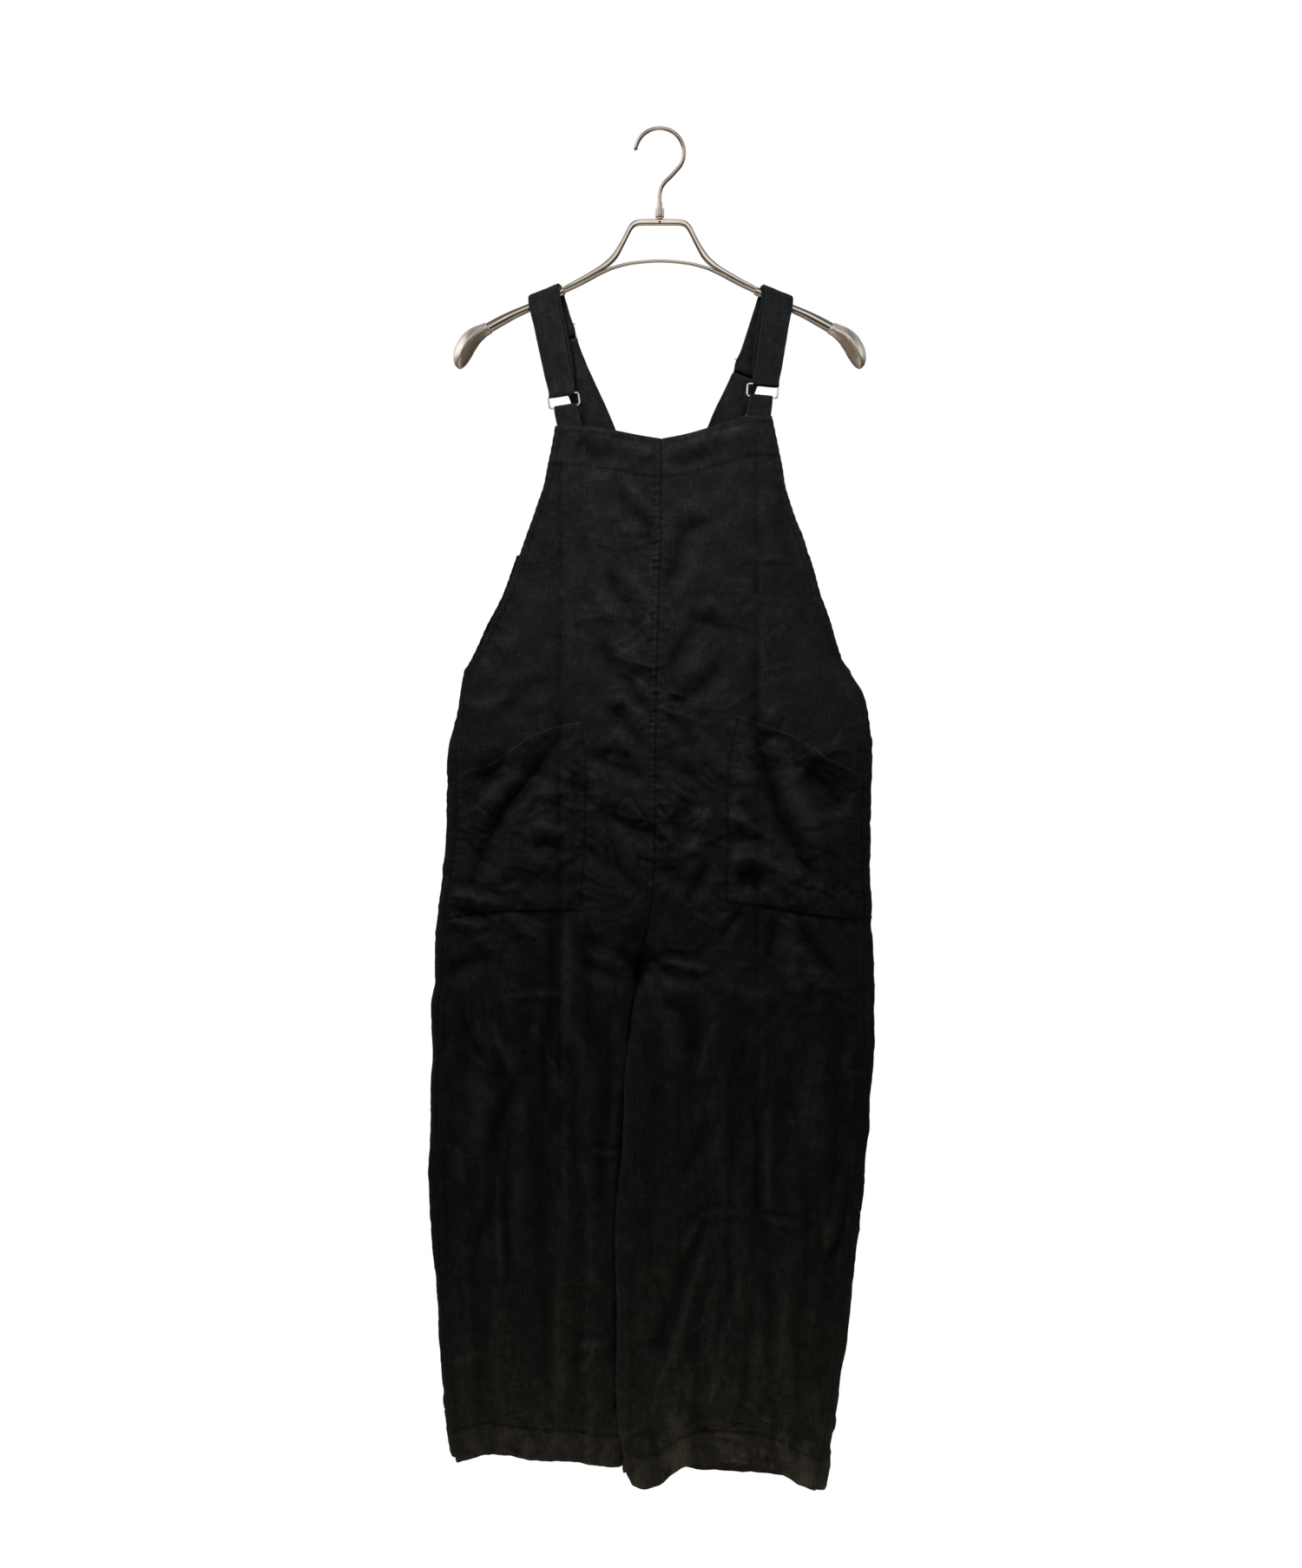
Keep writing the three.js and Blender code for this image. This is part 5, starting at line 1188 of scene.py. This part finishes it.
def sweep(path, high, deep, sides, loop=False, power=2.0):
    # A section of the given half height (in the XZ plane) and half depth (along Y), carried along
    # a path in a plane of constant Y. The section's outline is |r|^p + |y|^p = 1.
    along = np.roll(path, -1, axis=0) - np.roll(path, 1, axis=0) if loop else np.gradient(path, axis=0)
    along = unit(along)
    outward = np.stack([along[:, 2], 0 * along[:, 1], -along[:, 0]], axis=-1)
    a = np.linspace(0, 2 * np.pi, sides, endpoint=False)
    r, y = signedPower(np.cos(a), 2 / power), signedPower(np.sin(a), 2 / power)
    high, deep = np.broadcast_to(high, len(path)), np.broadcast_to(deep, len(path))
    rings = path[:, None] + outward[:, None] * (r * high[:, None])[..., None]
    rings[..., 1] += y * deep[:, None]
    return rings


def tubeFaces(rows, columns, loop=False):
    # Quads round a tube whose rings are closed, and a fan to a pole at each end of an open one.
    i, j = np.meshgrid(np.arange(rows if loop else rows - 1), np.arange(columns), indexing="ij")
    i, j = i.ravel(), j.ravel()
    onward, below = (j + 1) % columns, (i + 1) % rows
    upper, lower = i * columns, below * columns
    faces = [np.stack([upper + j, lower + j, lower + onward, upper + onward], axis=-1)]
    if not loop:
        k = np.arange(columns)
        after, pole = (k + 1) % columns, np.full(columns, rows * columns)
        faces.append(np.stack([pole, k, after, after], axis=-1))
        end = (rows - 1) * columns
        faces.append(np.stack([pole + 1, end + after, end + k, end + k], axis=-1))
    return np.concatenate(faces)


def tube(rings, loop=False):
    # Points and faces of one closed tube, turned the right way out.
    rows, columns = rings.shape[:2]
    points = rings.reshape(-1, 3)
    if not loop:
        points = np.concatenate([points, rings[0].mean(axis=0)[None], rings[-1].mean(axis=0)[None]])
    return points, faceOut(points, tubeFaces(rows, columns, loop))


def joinMeshes(parts):
    # One list of points and of faces from several closed meshes.
    points, faces, start = [], [], 0
    for p, f in parts:
        points.append(p)
        faces.append(f + start)
        start += len(p)
    return np.concatenate(points), np.concatenate(faces)


def smoothPath(points, count):
    # A smooth curve through points given as (x, z), in the plane y = 0, evenly spaced.
    points = np.array(points, float)
    chord = runAlong(points)
    rows = {"s": chord, "x": points[:, 0], "z": points[:, 1]}
    s = np.linspace(0, chord[-1], count)
    return np.stack([curveAt(rows, "s", "x", s), 0 * s, curveAt(rows, "s", "z", s)], axis=-1)


def roundedRectangle(wide, high, corner, steps):
    # The centre line of a rectangle with round corners, counted anticlockwise from its right side.
    path = []
    for k, (sx, sz) in enumerate(((1, 1), (-1, 1), (-1, -1), (1, -1))):
        a = np.linspace(0, np.pi / 2, steps) + k * np.pi / 2
        path.append(np.stack([sx * (wide / 2 - corner) + corner * np.cos(a), 0 * a,
                              sz * (high / 2 - corner) + corner * np.sin(a)], axis=-1))
    return np.concatenate(path)


def placed(points, at, tilt):
    # Turned about Y so that +X leans up by the tilt, then moved to its place.
    x, y, z = points.T
    return np.stack([at[0] + x * np.cos(tilt) - z * np.sin(tilt), at[1] + y,
                     at[2] + x * np.sin(tilt) + z * np.cos(tilt)], axis=-1)


metalPieces = {}
for side, sign in sideSign.items():
    rig = straps[side]
    path = roundedRectangle(ring["wide"], ring["high"], ring["corner"], 12)
    points, faces = tube(sweep(path, ring["wire"], ring["wire"], 20, loop=True), loop=True)
    at = (rig["ringAt"][0], ring["plane"], rig["ringAt"][1])
    name = "ring" + side.capitalize()
    metalPieces[name] = meshPiece(name, placed(points, at, rig["ringTilt"]), faces)

    half = slider["bar"] / 2
    deep, high = slider["thick"] / 2, slider["high"] - slider["bar"]
    path = roundedRectangle(slider["frame"] - slider["bar"], high, slider["corner"], 10)
    parts = [tube(sweep(path, half, deep, 16, loop=True, power=3.5), loop=True)]
    for wide, up in ((slider["frame"], 0), (slider["wide"], high / 2)):
        path = np.linspace([-wide / 2 + half, 0, up], [wide / 2 - half, 0, up], 12)
        parts.append(tube(sweep(path, half, deep * 0.94, 16, power=3.5)))
    points, faces = joinMeshes(parts)
    at = (float(lineAt(rig["back"], rig["slider"])), slider["level"], rig["slider"])
    name = "slider" + side.capitalize()
    metalPieces[name] = meshPiece(name, placed(points, at, -sign * lean["back"]), faces)


# The hanger

hanger = {
    "hookWire": 0.00205, "hookTurn": 0.0249, "tipAngle": 176, "leaveAngle": -42,
    "bridgeDeep": 0.0025, "screwRadius": 0.0012, "screwZ": -0.09425, "capRidge": 1.30,
}
stemLine = [
    (0.0105, -0.0483), (0.005, -0.0536), (0.0014, -0.0596), (0, -0.067), (0, -0.078), (0, -0.0907),
]
# The pressed strip: a flat bridge, legs that flare out, and two long tails on top of the rod.
bridgeLine = table("x z high", [
    (-104, -165.2, 1.4), (-92, -158.8, 1.9), (-80.5, -152.9, 2.2), (-70, -147, 2.4),
    (-60.9, -141.7, 2.7), (-53.5, -136.6, 3.2), (-46.2, -129, 3.3), (-39.8, -118.5, 2.8),
    (-34.6, -108.5, 2.6), (-31.2, -101.8, 2.7), (-28.6, -98, 2.8), (-25, -95.5, 3), (-20, -94.4, 3.2),
    (-10, -94.2, 3.3),
])
rodLine = table("x z high", [
    (-101, -166.6, 2), (-80.5, -157, 2), (-60.9, -146.6, 1.9), (-46.5, -140.5, 1.8), (-26, -135.7, 1.7),
    (0, -133.8, 1.7),
])
armLine = table("x z high", [
    (98.5, -164.3, 3.3), (99.2, -164.6, 3.9), (101, -165.5, 4), (117, -173.9, 4), (134, -181.8, 4.2),
    (150, -188.9, 4.7), (164, -196.2, 5.3), (177, -203.5, 5.5),
])
collarLine = table("x z high", [
    (97.8, -164, 3), (98.4, -164.3, 4.3), (104.6, -167.4, 4.4), (105.2, -167.7, 3.6),
])
capRings = table("x z high wide", [
    (174.8, -202.2, 5.6, 5.6), (175.2, -202.5, 6.3, 6.6), (180, -204.8, 7, 8.6), (185.5, -208, 8.3, 12),
    (190.5, -211.8, 9.2, 15), (195.5, -217.6, 9.9, 17.5), (200, -225.4, 9.9, 18.5),
    (202.8, -233, 8.6, 17.5), (204.2, -239.4, 6, 14), (204.8, -244.2, 2.2, 8),
])


def mirrored(rows):
    # A line with its mirror image joined on, in order. A point at the middle is used once.
    once = int(rows["x"][-1] == 0)
    return {name: np.concatenate([values, (-values if name == "x" else values)[::-1][once:]])
            for name, values in rows.items()}


def barAlong(rows, count, sides, deep=None, power=2.0):
    # A closed bar along a table of points, half as high as its table says at each place.
    line = np.stack([rows["x"], rows["z"]], axis=-1)
    path, chord = smoothPath(line, count), runAlong(line)
    high = curveAt({"s": chord, "high": rows["high"]}, "s", "high", np.linspace(0, chord[-1], count))
    deep = high if deep is None else np.minimum(deep, 1.3 * high)
    return tube(sweep(path, high, deep, sides, power=power))


def hookPiece():
    # Most of a circle, then a sweep back to the stem, with a rounded tip.
    a = np.radians(np.linspace(hanger["tipAngle"], hanger["leaveAngle"], 60))
    centreZ = hanger["hookWire"] - hanger["hookTurn"]
    arc = np.stack([hanger["hookTurn"] * np.cos(a), centreZ + hanger["hookTurn"] * np.sin(a)], axis=-1)
    path = smoothPath(np.concatenate([arc, stemLine]), 150)
    rounded = np.minimum(np.arange(150) / 3.0, 1)
    size = hanger["hookWire"] * np.sqrt(1 - (1 - rounded) ** 2) + 0.0002 * (rounded == 0)
    points, faces = tube(sweep(path, size, size, 24))
    return meshPiece("hangerHook", points, faces)


def framePiece():
    # Pressed strip, thin arched rod under it, and two thick arms that the rod's ends go into.
    parts = [barAlong(mirrored(bridgeLine), 220, 28, hanger["bridgeDeep"], power=3.2),
             barAlong(mirrored(rodLine), 160, 20)]
    for sign in (1, -1):
        for rows, count in ((armLine, 90), (collarLine, 16)):
            parts.append(barAlong(dict(rows, x=sign * rows["x"]), count, 36))
    return meshPiece("hangerFrame", *joinMeshes(parts))


def screwPiece():
    # The head of the small screw in the bridge: a rim round a deep six-sided recess.
    deep, radius = -hanger["bridgeDeep"], hanger["screwRadius"]
    profile = np.array([
        (0.02, 0.0022), (1.0, 0.0022), (1.0, -0.00020), (0.86, -0.00034), (0.62, -0.00030),
        (0.56, -0.00010), (0.02, -0.00008),
    ])
    a = np.linspace(0, 2 * np.pi, 24, endpoint=False)[:, None]
    r = profile[:, 0] * radius * (1 + 0.05 * (profile[:, 0] < 0.6) * np.cos(6 * a))
    rings = np.stack([r * np.cos(a), deep + profile[:, 1] + 0 * a,
                      hanger["screwZ"] + r * np.sin(a)], axis=-1)
    points = rings.reshape(-1, 3)
    faces = tubeFaces(24, len(profile), loop=True)
    return meshPiece("hangerScrew", points, faceOut(points, faces), sharp=35)


def ferrulePiece():
    # A turned collar: its profile of (radius, height) is carried once round.
    profile = np.array([
        (2.2, -90.9), (3.0, -90.9), (3.2, -90.7), (3.2, -89.6), (4.2, -89.4), (4.5, -89.2),
        (4.55, -88.9), (4.55, -81.0), (4.5, -80.7), (4.2, -80.5), (2.95, -80.3), (2.9, -80.0),
        (2.9, -74.6), (2.8, -74.3), (2.5, -74.1), (2.2, -74.1),
    ]) / 1000
    a = np.linspace(0, 2 * np.pi, 40, endpoint=False)[:, None]
    radius, z = profile.T
    rings = np.stack([radius * np.cos(a), radius * np.sin(a), z + 0 * a], axis=-1)
    points = rings.reshape(-1, 3)
    faces = tubeFaces(40, len(profile), loop=True)
    return meshPiece("hangerFerrule", points, faceOut(points, faces), sharp=30)


def capPiece(side, sign):
    # A broad shoulder cap: rings whose outline has a soft ridge at the front and at the back.
    count, sides = 70, 56
    s = np.linspace(0, len(capRings["x"]) - 1, count)
    rows = dict(capRings, s=np.arange(len(capRings["x"]), dtype=float))
    x, z, high, wide = (curveAt(rows, "s", key, s) for key in ("x", "z", "high", "wide"))
    # The tip is rounded over the last stretch.
    rounded = np.sqrt(1 - 0.93 * np.clip((s - 8.3) / 0.7, 0, 1) ** 2)
    along = unit(np.stack([np.gradient(x), np.gradient(z)], axis=-1))
    a = np.linspace(0, 2 * np.pi, sides, endpoint=False)
    ridge = mix(1.0, hanger["capRidge"], smooth(s / 3.0))[:, None]
    r = signedPower(np.cos(a), ridge) * (high * rounded)[:, None]
    y = signedPower(np.sin(a), ridge) * (wide * rounded)[:, None]
    rings = np.stack([sign * (x[:, None] - along[:, 1:] * r), y, z[:, None] + along[:, :1] * r], axis=-1)
    points, faces = tube(rings)
    return meshPiece("hangerCap" + side.capitalize(), points, faces, sharp=70)


parts = [hookPiece(), framePiece(), ferrulePiece(), screwPiece()]
parts += [capPiece(side, sign) for side, sign in sideSign.items()]
metalPieces.update({piece.name: piece for piece in parts})
print("hanger frame", len(metalPieces["hangerFrame"].data.polygons) * 2, "triangles")


# Finishes

def addNode(tree, kind, inputs=(), **settings):
    # A shader node with its settings, and its inputs by name or number: a value or an output.
    node = tree.nodes.new("ShaderNode" + kind)
    for key, value in settings.items():
        setattr(node, key, value)
    for key, value in dict(inputs).items():
        if isinstance(value, bpy.types.NodeSocket):
            tree.links.new(value, node.inputs[key])
        else:
            node.inputs[key].default_value = value
    return node


def blankMaterial(name, values):
    # A Principled material: constant values are set on the shader's own sockets.
    material = bpy.data.materials.new(name)
    material.use_nodes = True
    tree = material.node_tree
    tree.nodes.clear()
    shader = addNode(tree, "BsdfPrincipled", values)
    output = addNode(tree, "OutputMaterial")
    tree.links.new(shader.outputs[0], output.inputs[0])
    return material, tree, shader


def noiseOf(tree, place, scale, detail, **more):
    # A noise texture's value at a place.
    inputs = {"Vector": place, "Scale": scale, "Detail": detail, **more}
    return addNode(tree, "TexNoise", inputs).outputs[0]


def maths(tree, operation, *values):
    # One step of arithmetic on numbers or outputs.
    return addNode(tree, "Math", dict(enumerate(values)), operation=operation).outputs[0]


def ramp(tree, factor, stops):
    # A colour ramp with its stops as (place, colour).
    node = addNode(tree, "ValToRGB", {0: factor})
    elements = node.color_ramp.elements
    while len(elements) < len(stops):
        elements.new(0.5)
    for element, (place, colour) in zip(elements, stops):
        element.position = place
        element.color = (*colour, 1)
    return node.outputs[0]


linen = {
    "pitchAcross": 0.00058, "pitchDown": 0.00062, "weave": 0.00010,
    "dark": (0.0045, 0.0048, 0.0053), "middle": (0.0180, 0.0187, 0.0198),
    "light": (0.0500, 0.0515, 0.0530), "paintedShadeAndWearAmounts": 0.070,
    "roughness": 0.85, "sheen": 0.05, "sheenRoughness": 0.4,
}


def linenMaterial():
    # Plain weave from the cloth's own lengths: warp and weft pass over each other in turn. Slubs
    # are streaks of noise along the threads, and the dye is a little uneven. A point attribute adds
    # painted shade and painted highlights from folds and edges, with some wear.
    material, tree, shader = blankMaterial("washedLinen", {
        "Roughness": linen["roughness"], "Specular IOR Level": 0.08, "Sheen Weight": linen["sheen"],
        "Sheen Roughness": linen["sheenRoughness"], "Sheen Tint": (0.75, 0.80, 0.86, 1),
    })
    uv = addNode(tree, "UVMap", uv_map="cloth").outputs[0]
    split = addNode(tree, "SeparateXYZ", {0: uv})
    u, v = split.outputs[0], split.outputs[1]
    warp = maths(tree, "SINE", maths(tree, "MULTIPLY", u, np.pi / linen["pitchAcross"]))
    weft = maths(tree, "SINE", maths(tree, "MULTIPLY", v, np.pi / linen["pitchDown"]))
    over = maths(tree, "GREATER_THAN", maths(tree, "MULTIPLY", warp, weft), 0.0)
    highWarp, highWeft = maths(tree, "ABSOLUTE", warp), maths(tree, "ABSOLUTE", weft)
    thread = addNode(tree, "Mix", {"Factor": over, 2: highWeft, 3: highWarp}).outputs[0]
    streaks = []
    for scale in ((720, 85, 1), (95, 700, 1)):
        place = addNode(tree, "Mapping", {"Vector": uv, "Scale": scale}).outputs[0]
        streaks.append(noiseOf(tree, place, 1, 2.0))
    slub = maths(tree, "MULTIPLY_ADD", streaks[0], 0.5, maths(tree, "MULTIPLY", streaks[1], 0.5))
    cloud = noiseOf(tree, uv, 38, 3.0, Roughness=0.6)
    tone = maths(tree, "MULTIPLY_ADD", slub, 0.60, 0.19)
    tone = maths(tree, "MULTIPLY_ADD", thread, 0.06, tone)
    tone = maths(tree, "MULTIPLY_ADD", cloud, 0.35, tone)
    # Painted shade and painted highlights, with some wear, from the mesh's attribute shift the tone.
    worn = addNode(tree, "Attribute", attribute_name="worn").outputs["Fac"]
    tone = maths(tree, "MULTIPLY_ADD", worn, linen["paintedShadeAndWearAmounts"], tone)
    colour = ramp(tree, tone, [(0.46, linen["dark"]), (0.72, linen["middle"]), (0.98, linen["light"])])
    tree.links.new(colour, shader.inputs["Base Color"])
    height = maths(tree, "MULTIPLY_ADD", slub, 1.2, thread)
    bump = addNode(tree, "Bump", {"Height": height, "Distance": linen["weave"], "Strength": 0.8})
    tree.links.new(bump.outputs[0], shader.inputs["Normal"])
    return material


def threadMaterial():
    # Waxed black thread, a little shinier than the cloth.
    material, tree, shader = blankMaterial("sewingThread", {
        "Roughness": 0.7, "Specular IOR Level": 0.12,
    })
    place = addNode(tree, "TexCoord").outputs["Object"]
    twist = noiseOf(tree, place, 900, 2.0)
    colour = ramp(tree, twist, [(0.3, (0.008, 0.009, 0.010)), (0.75, (0.020, 0.021, 0.023))])
    tree.links.new(colour, shader.inputs["Base Color"])
    return material


def metalMaterial(name, low, high, roughness, spread, grain):
    # Plated metal: its colour and its gloss vary a little, and a fine grain breaks its highlights.
    material, tree, shader = blankMaterial(name, {"Metallic": 1.0})
    place = addNode(tree, "TexCoord").outputs["Object"]
    cloud = noiseOf(tree, place, 55, 3.0)
    tree.links.new(ramp(tree, cloud, [(0.35, low), (0.7, high)]), shader.inputs["Base Color"])
    fine = noiseOf(tree, place, grain, 3.0)
    gloss = maths(tree, "MULTIPLY_ADD", fine, spread, roughness - spread / 2)
    tree.links.new(gloss, shader.inputs["Roughness"])
    bump = addNode(tree, "Bump", {"Height": fine, "Distance": 0.00002, "Strength": 0.6})
    tree.links.new(bump.outputs[0], shader.inputs["Normal"])
    return material


# Metals: lower and higher colour, roughness and its spread, pitch of the grain.
metalForms = {
    "brightNickel": ((0.82, 0.79, 0.73), (0.90, 0.87, 0.81), 0.18, 0.08, 700),
    "champagnePlate": ((0.48, 0.425, 0.365), (0.58, 0.515, 0.45), 0.14, 0.06, 900),
    "satinPlate": ((0.80, 0.735, 0.635), (0.90, 0.83, 0.725), 0.40, 0.10, 1400),
    "screwSteel": ((0.05, 0.045, 0.04), (0.10, 0.09, 0.08), 0.40, 0.10, 1200),
}
metalOf = {
    "ring": "brightNickel", "slider": "brightNickel", "hangerCap": "satinPlate",
    "hangerScrew": "screwSteel", "hanger": "champagnePlate",
}
linenCloth = linenMaterial()
for piece in clothPieces.values():
    piece.data.materials.append(linenCloth)
stitching.data.materials.append(threadMaterial())
metals = {name: metalMaterial(name, *form) for name, form in metalForms.items()}
for name, piece in metalPieces.items():
    kind = next(start for start in metalOf if name.startswith(start))
    piece.data.materials.append(metals[metalOf[kind]])


# Each piece hung on the root, and the CAD parts that it stands for hidden

sheets = {
    "frontRight": (0.262, 1.100, 0.245), "frontLeft": (0.262, 1.070, 0.240),
    "backRight": (0.262, 0.980, 0.230), "backLeft": (0.262, 0.960, 0.225),
    "pocketRight": (0.175, 0.206, 0.026), "pocketLeft": (0.175, 0.200, 0.026),
}
for name, piece in clothPieces.items():
    side = "right" if name.endswith("Right") else "left"
    kind = name[:-len(side)]
    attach(piece, "root")
    if kind in ("front", "back"):
        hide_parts(*(f"{kind}_{side}_{part}" for part in ("top", "hip", "thigh", "shin")))
    else:
        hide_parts(f"{kind}_{side}")
    if name in sheets:
        wide, long, area = sheets[name]
    else:
        wide = ribbon["strapWide"] if kind == "strap" else ribbon["tabWide"]

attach(stitching, "root")
for name, piece in metalPieces.items():
    side = "right" if name.endswith("Right") else "left"
    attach(piece, "root")
    if name.startswith(("ring", "slider")):
        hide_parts(name[:-len(side)] + "_" + side)
    elif name.startswith("hangerCap"):
        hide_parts("hanger_cap_" + side)
    else:
        if name != "hangerScrew":
            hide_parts(name.replace("hanger", "hanger_").lower())


# Studio: pale floor, soft lights, white surroundings, and the camera in front

studio = {
    "cameraAway": 2.6, "aimX": -0.0089, "aimZ": -0.6687, "frameHigh": 1.6037,
    "floorZ": -1.62, "floorNear": -1.2, "floorFar": 0.40, "floorHalf": 0.9,
}

# Where each light is, what it faces, its size, its power, its colour and its spread in degrees.
lights = {
    "keyLight": ((-0.32, -0.44, 0.26), (0, 0, -0.50), (0.30, 0.22), 1.68, (0.93, 0.975, 1.0), 90),
    "fillLight": ((0.50, -0.46, 0.20), (0, 0, -0.54), (0.30, 0.30), 0.86, (0.95, 0.98, 1.0), 90),
    "hemLight": ((0.0, -0.17, -1.585), (0, -0.01, -1.30), (0.6, 0.10), 0.60, (1.0, 0.82, 0.54), 110),
    "floorLight": ((0.0, -0.4, -1.605), (0, -0.4, -1.7), (1.8, 1.6), 5.0, (1.0, 0.98, 0.95), 180),
    "rearLight": ((0.36, 0.50, 0.24), (0, 0, -0.60), (0.30, 0.30), 7.5, (0.96, 0.98, 1.0), 180),
}


def areaLight(name, at, aim, size, power, colour, spread):
    # A soft rectangular light that faces a point, out of the camera's sight.
    light = bpy.data.lights.new(name, "AREA")
    light.shape = "RECTANGLE"
    light.size, light.size_y = size
    light.energy = power
    light.color = colour
    light.spread = np.radians(spread)
    lamp = addObject(name, light)
    lamp.location = at
    lamp.rotation_euler = (Vector(aim) - Vector(at)).to_track_quat("-Z", "Y").to_euler()
    lamp.visible_camera = False
    lamp.visible_glossy = False
    return lamp


def floorPiece():
    # A gently uneven pale floor, below and in front of the garment.
    x = np.linspace(-studio["floorHalf"], studio["floorHalf"], 24)
    y = np.linspace(studio["floorNear"], studio["floorFar"], 24)
    gridX, gridY = np.meshgrid(x, y)
    z = studio["floorZ"] + 0.0004 * softNoise(gridX / 0.3, gridY / 0.3, 400)
    top = np.stack([gridX, gridY, z], axis=-1)
    points = np.concatenate([top.reshape(-1, 3), (top - [0, 0, 0.02]).reshape(-1, 3)])
    piece = meshPiece("floor", points, faceOut(points, wallQuads(24, 24)))
    material, tree, shader = blankMaterial("paleFloor", {"Roughness": 0.7})
    place = addNode(tree, "TexCoord").outputs["Object"]
    cloud = noiseOf(tree, place, 3, 4.0)
    tree.links.new(ramp(tree, cloud, [(0.3, (0.80, 0.79, 0.77)), (0.7, (0.86, 0.85, 0.83))]),
                   shader.inputs["Base Color"])
    piece.data.materials.append(material)
    piece.visible_diffuse = False
    return piece


def surroundings():
    # White to the eye. As light and as a reflection: bright above, and dim and brownish below.
    world = bpy.data.worlds.new("studioWorld")
    bpy.context.scene.world = world
    world.use_nodes = True
    tree = world.node_tree
    tree.nodes.clear()
    place = addNode(tree, "TexCoord").outputs["Generated"]
    way = addNode(tree, "SeparateXYZ", {0: place}).outputs
    part = maths(tree, "MULTIPLY_ADD", way[2], 0.5, 0.5)
    colour = ramp(tree, part, [(0.16, (0.45, 0.40, 0.34)), (0.30, (0.080, 0.056, 0.040)),
                               (0.45, (0.12, 0.095, 0.075)), (0.52, (0.36, 0.34, 0.31)),
                               (0.58, (1.0, 1.0, 1.0)), (0.80, (1.0, 1.0, 1.0)),
                               (0.93, (0.40, 0.40, 0.41))])
    path = addNode(tree, "LightPath").outputs
    # Darker screens to the left and to the right, so that upright metal shows streaks as well.
    screens = ramp(tree, maths(tree, "MULTIPLY_ADD", way[0], 0.5, 0.5),
                   [(0.02, (0.9, 0.9, 0.9)), (0.16, (1.25, 1.25, 1.25)), (0.28, (0.30, 0.29, 0.28)),
                    (0.40, (0.45, 0.44, 0.43)), (0.47, (1.2, 1.2, 1.2)), (0.56, (1.2, 1.2, 1.2)),
                    (0.64, (0.35, 0.34, 0.33)), (0.82, (0.25, 0.24, 0.23)), (0.97, (0.8, 0.8, 0.8))])
    reflected = maths(tree, "MULTIPLY", path["Is Glossy Ray"], screens)
    strength = maths(tree, "MULTIPLY_ADD", reflected, 1.25, 0.02)
    lit = addNode(tree, "Background", {"Color": colour, "Strength": strength})
    seen = addNode(tree, "Background", {"Color": (1, 1, 1, 1), "Strength": 1.0})
    both = addNode(tree, "MixShader", {0: path["Is Camera Ray"], 1: lit.outputs[0], 2: seen.outputs[0]})
    output = addNode(tree, "OutputWorld")
    tree.links.new(both.outputs[0], output.inputs[0])


def cameraInFront():
    # Level with the garment's middle, and the frame as high as stated at the garment.
    camera = bpy.data.cameras.new("camera")
    camera.lens = camera.sensor_width * studio["cameraAway"] / studio["frameHigh"]
    viewer = addObject("camera", camera)
    viewer.location = (studio["aimX"], -studio["cameraAway"], studio["aimZ"])
    viewer.rotation_euler = (np.pi / 2, 0, 0)
    bpy.context.scene.camera = viewer


floorPiece()
surroundings()
cameraInFront()
for name, form in lights.items():
    areaLight(name, *form)
bpy.context.scene.view_settings.view_transform = "Standard"

print("done")
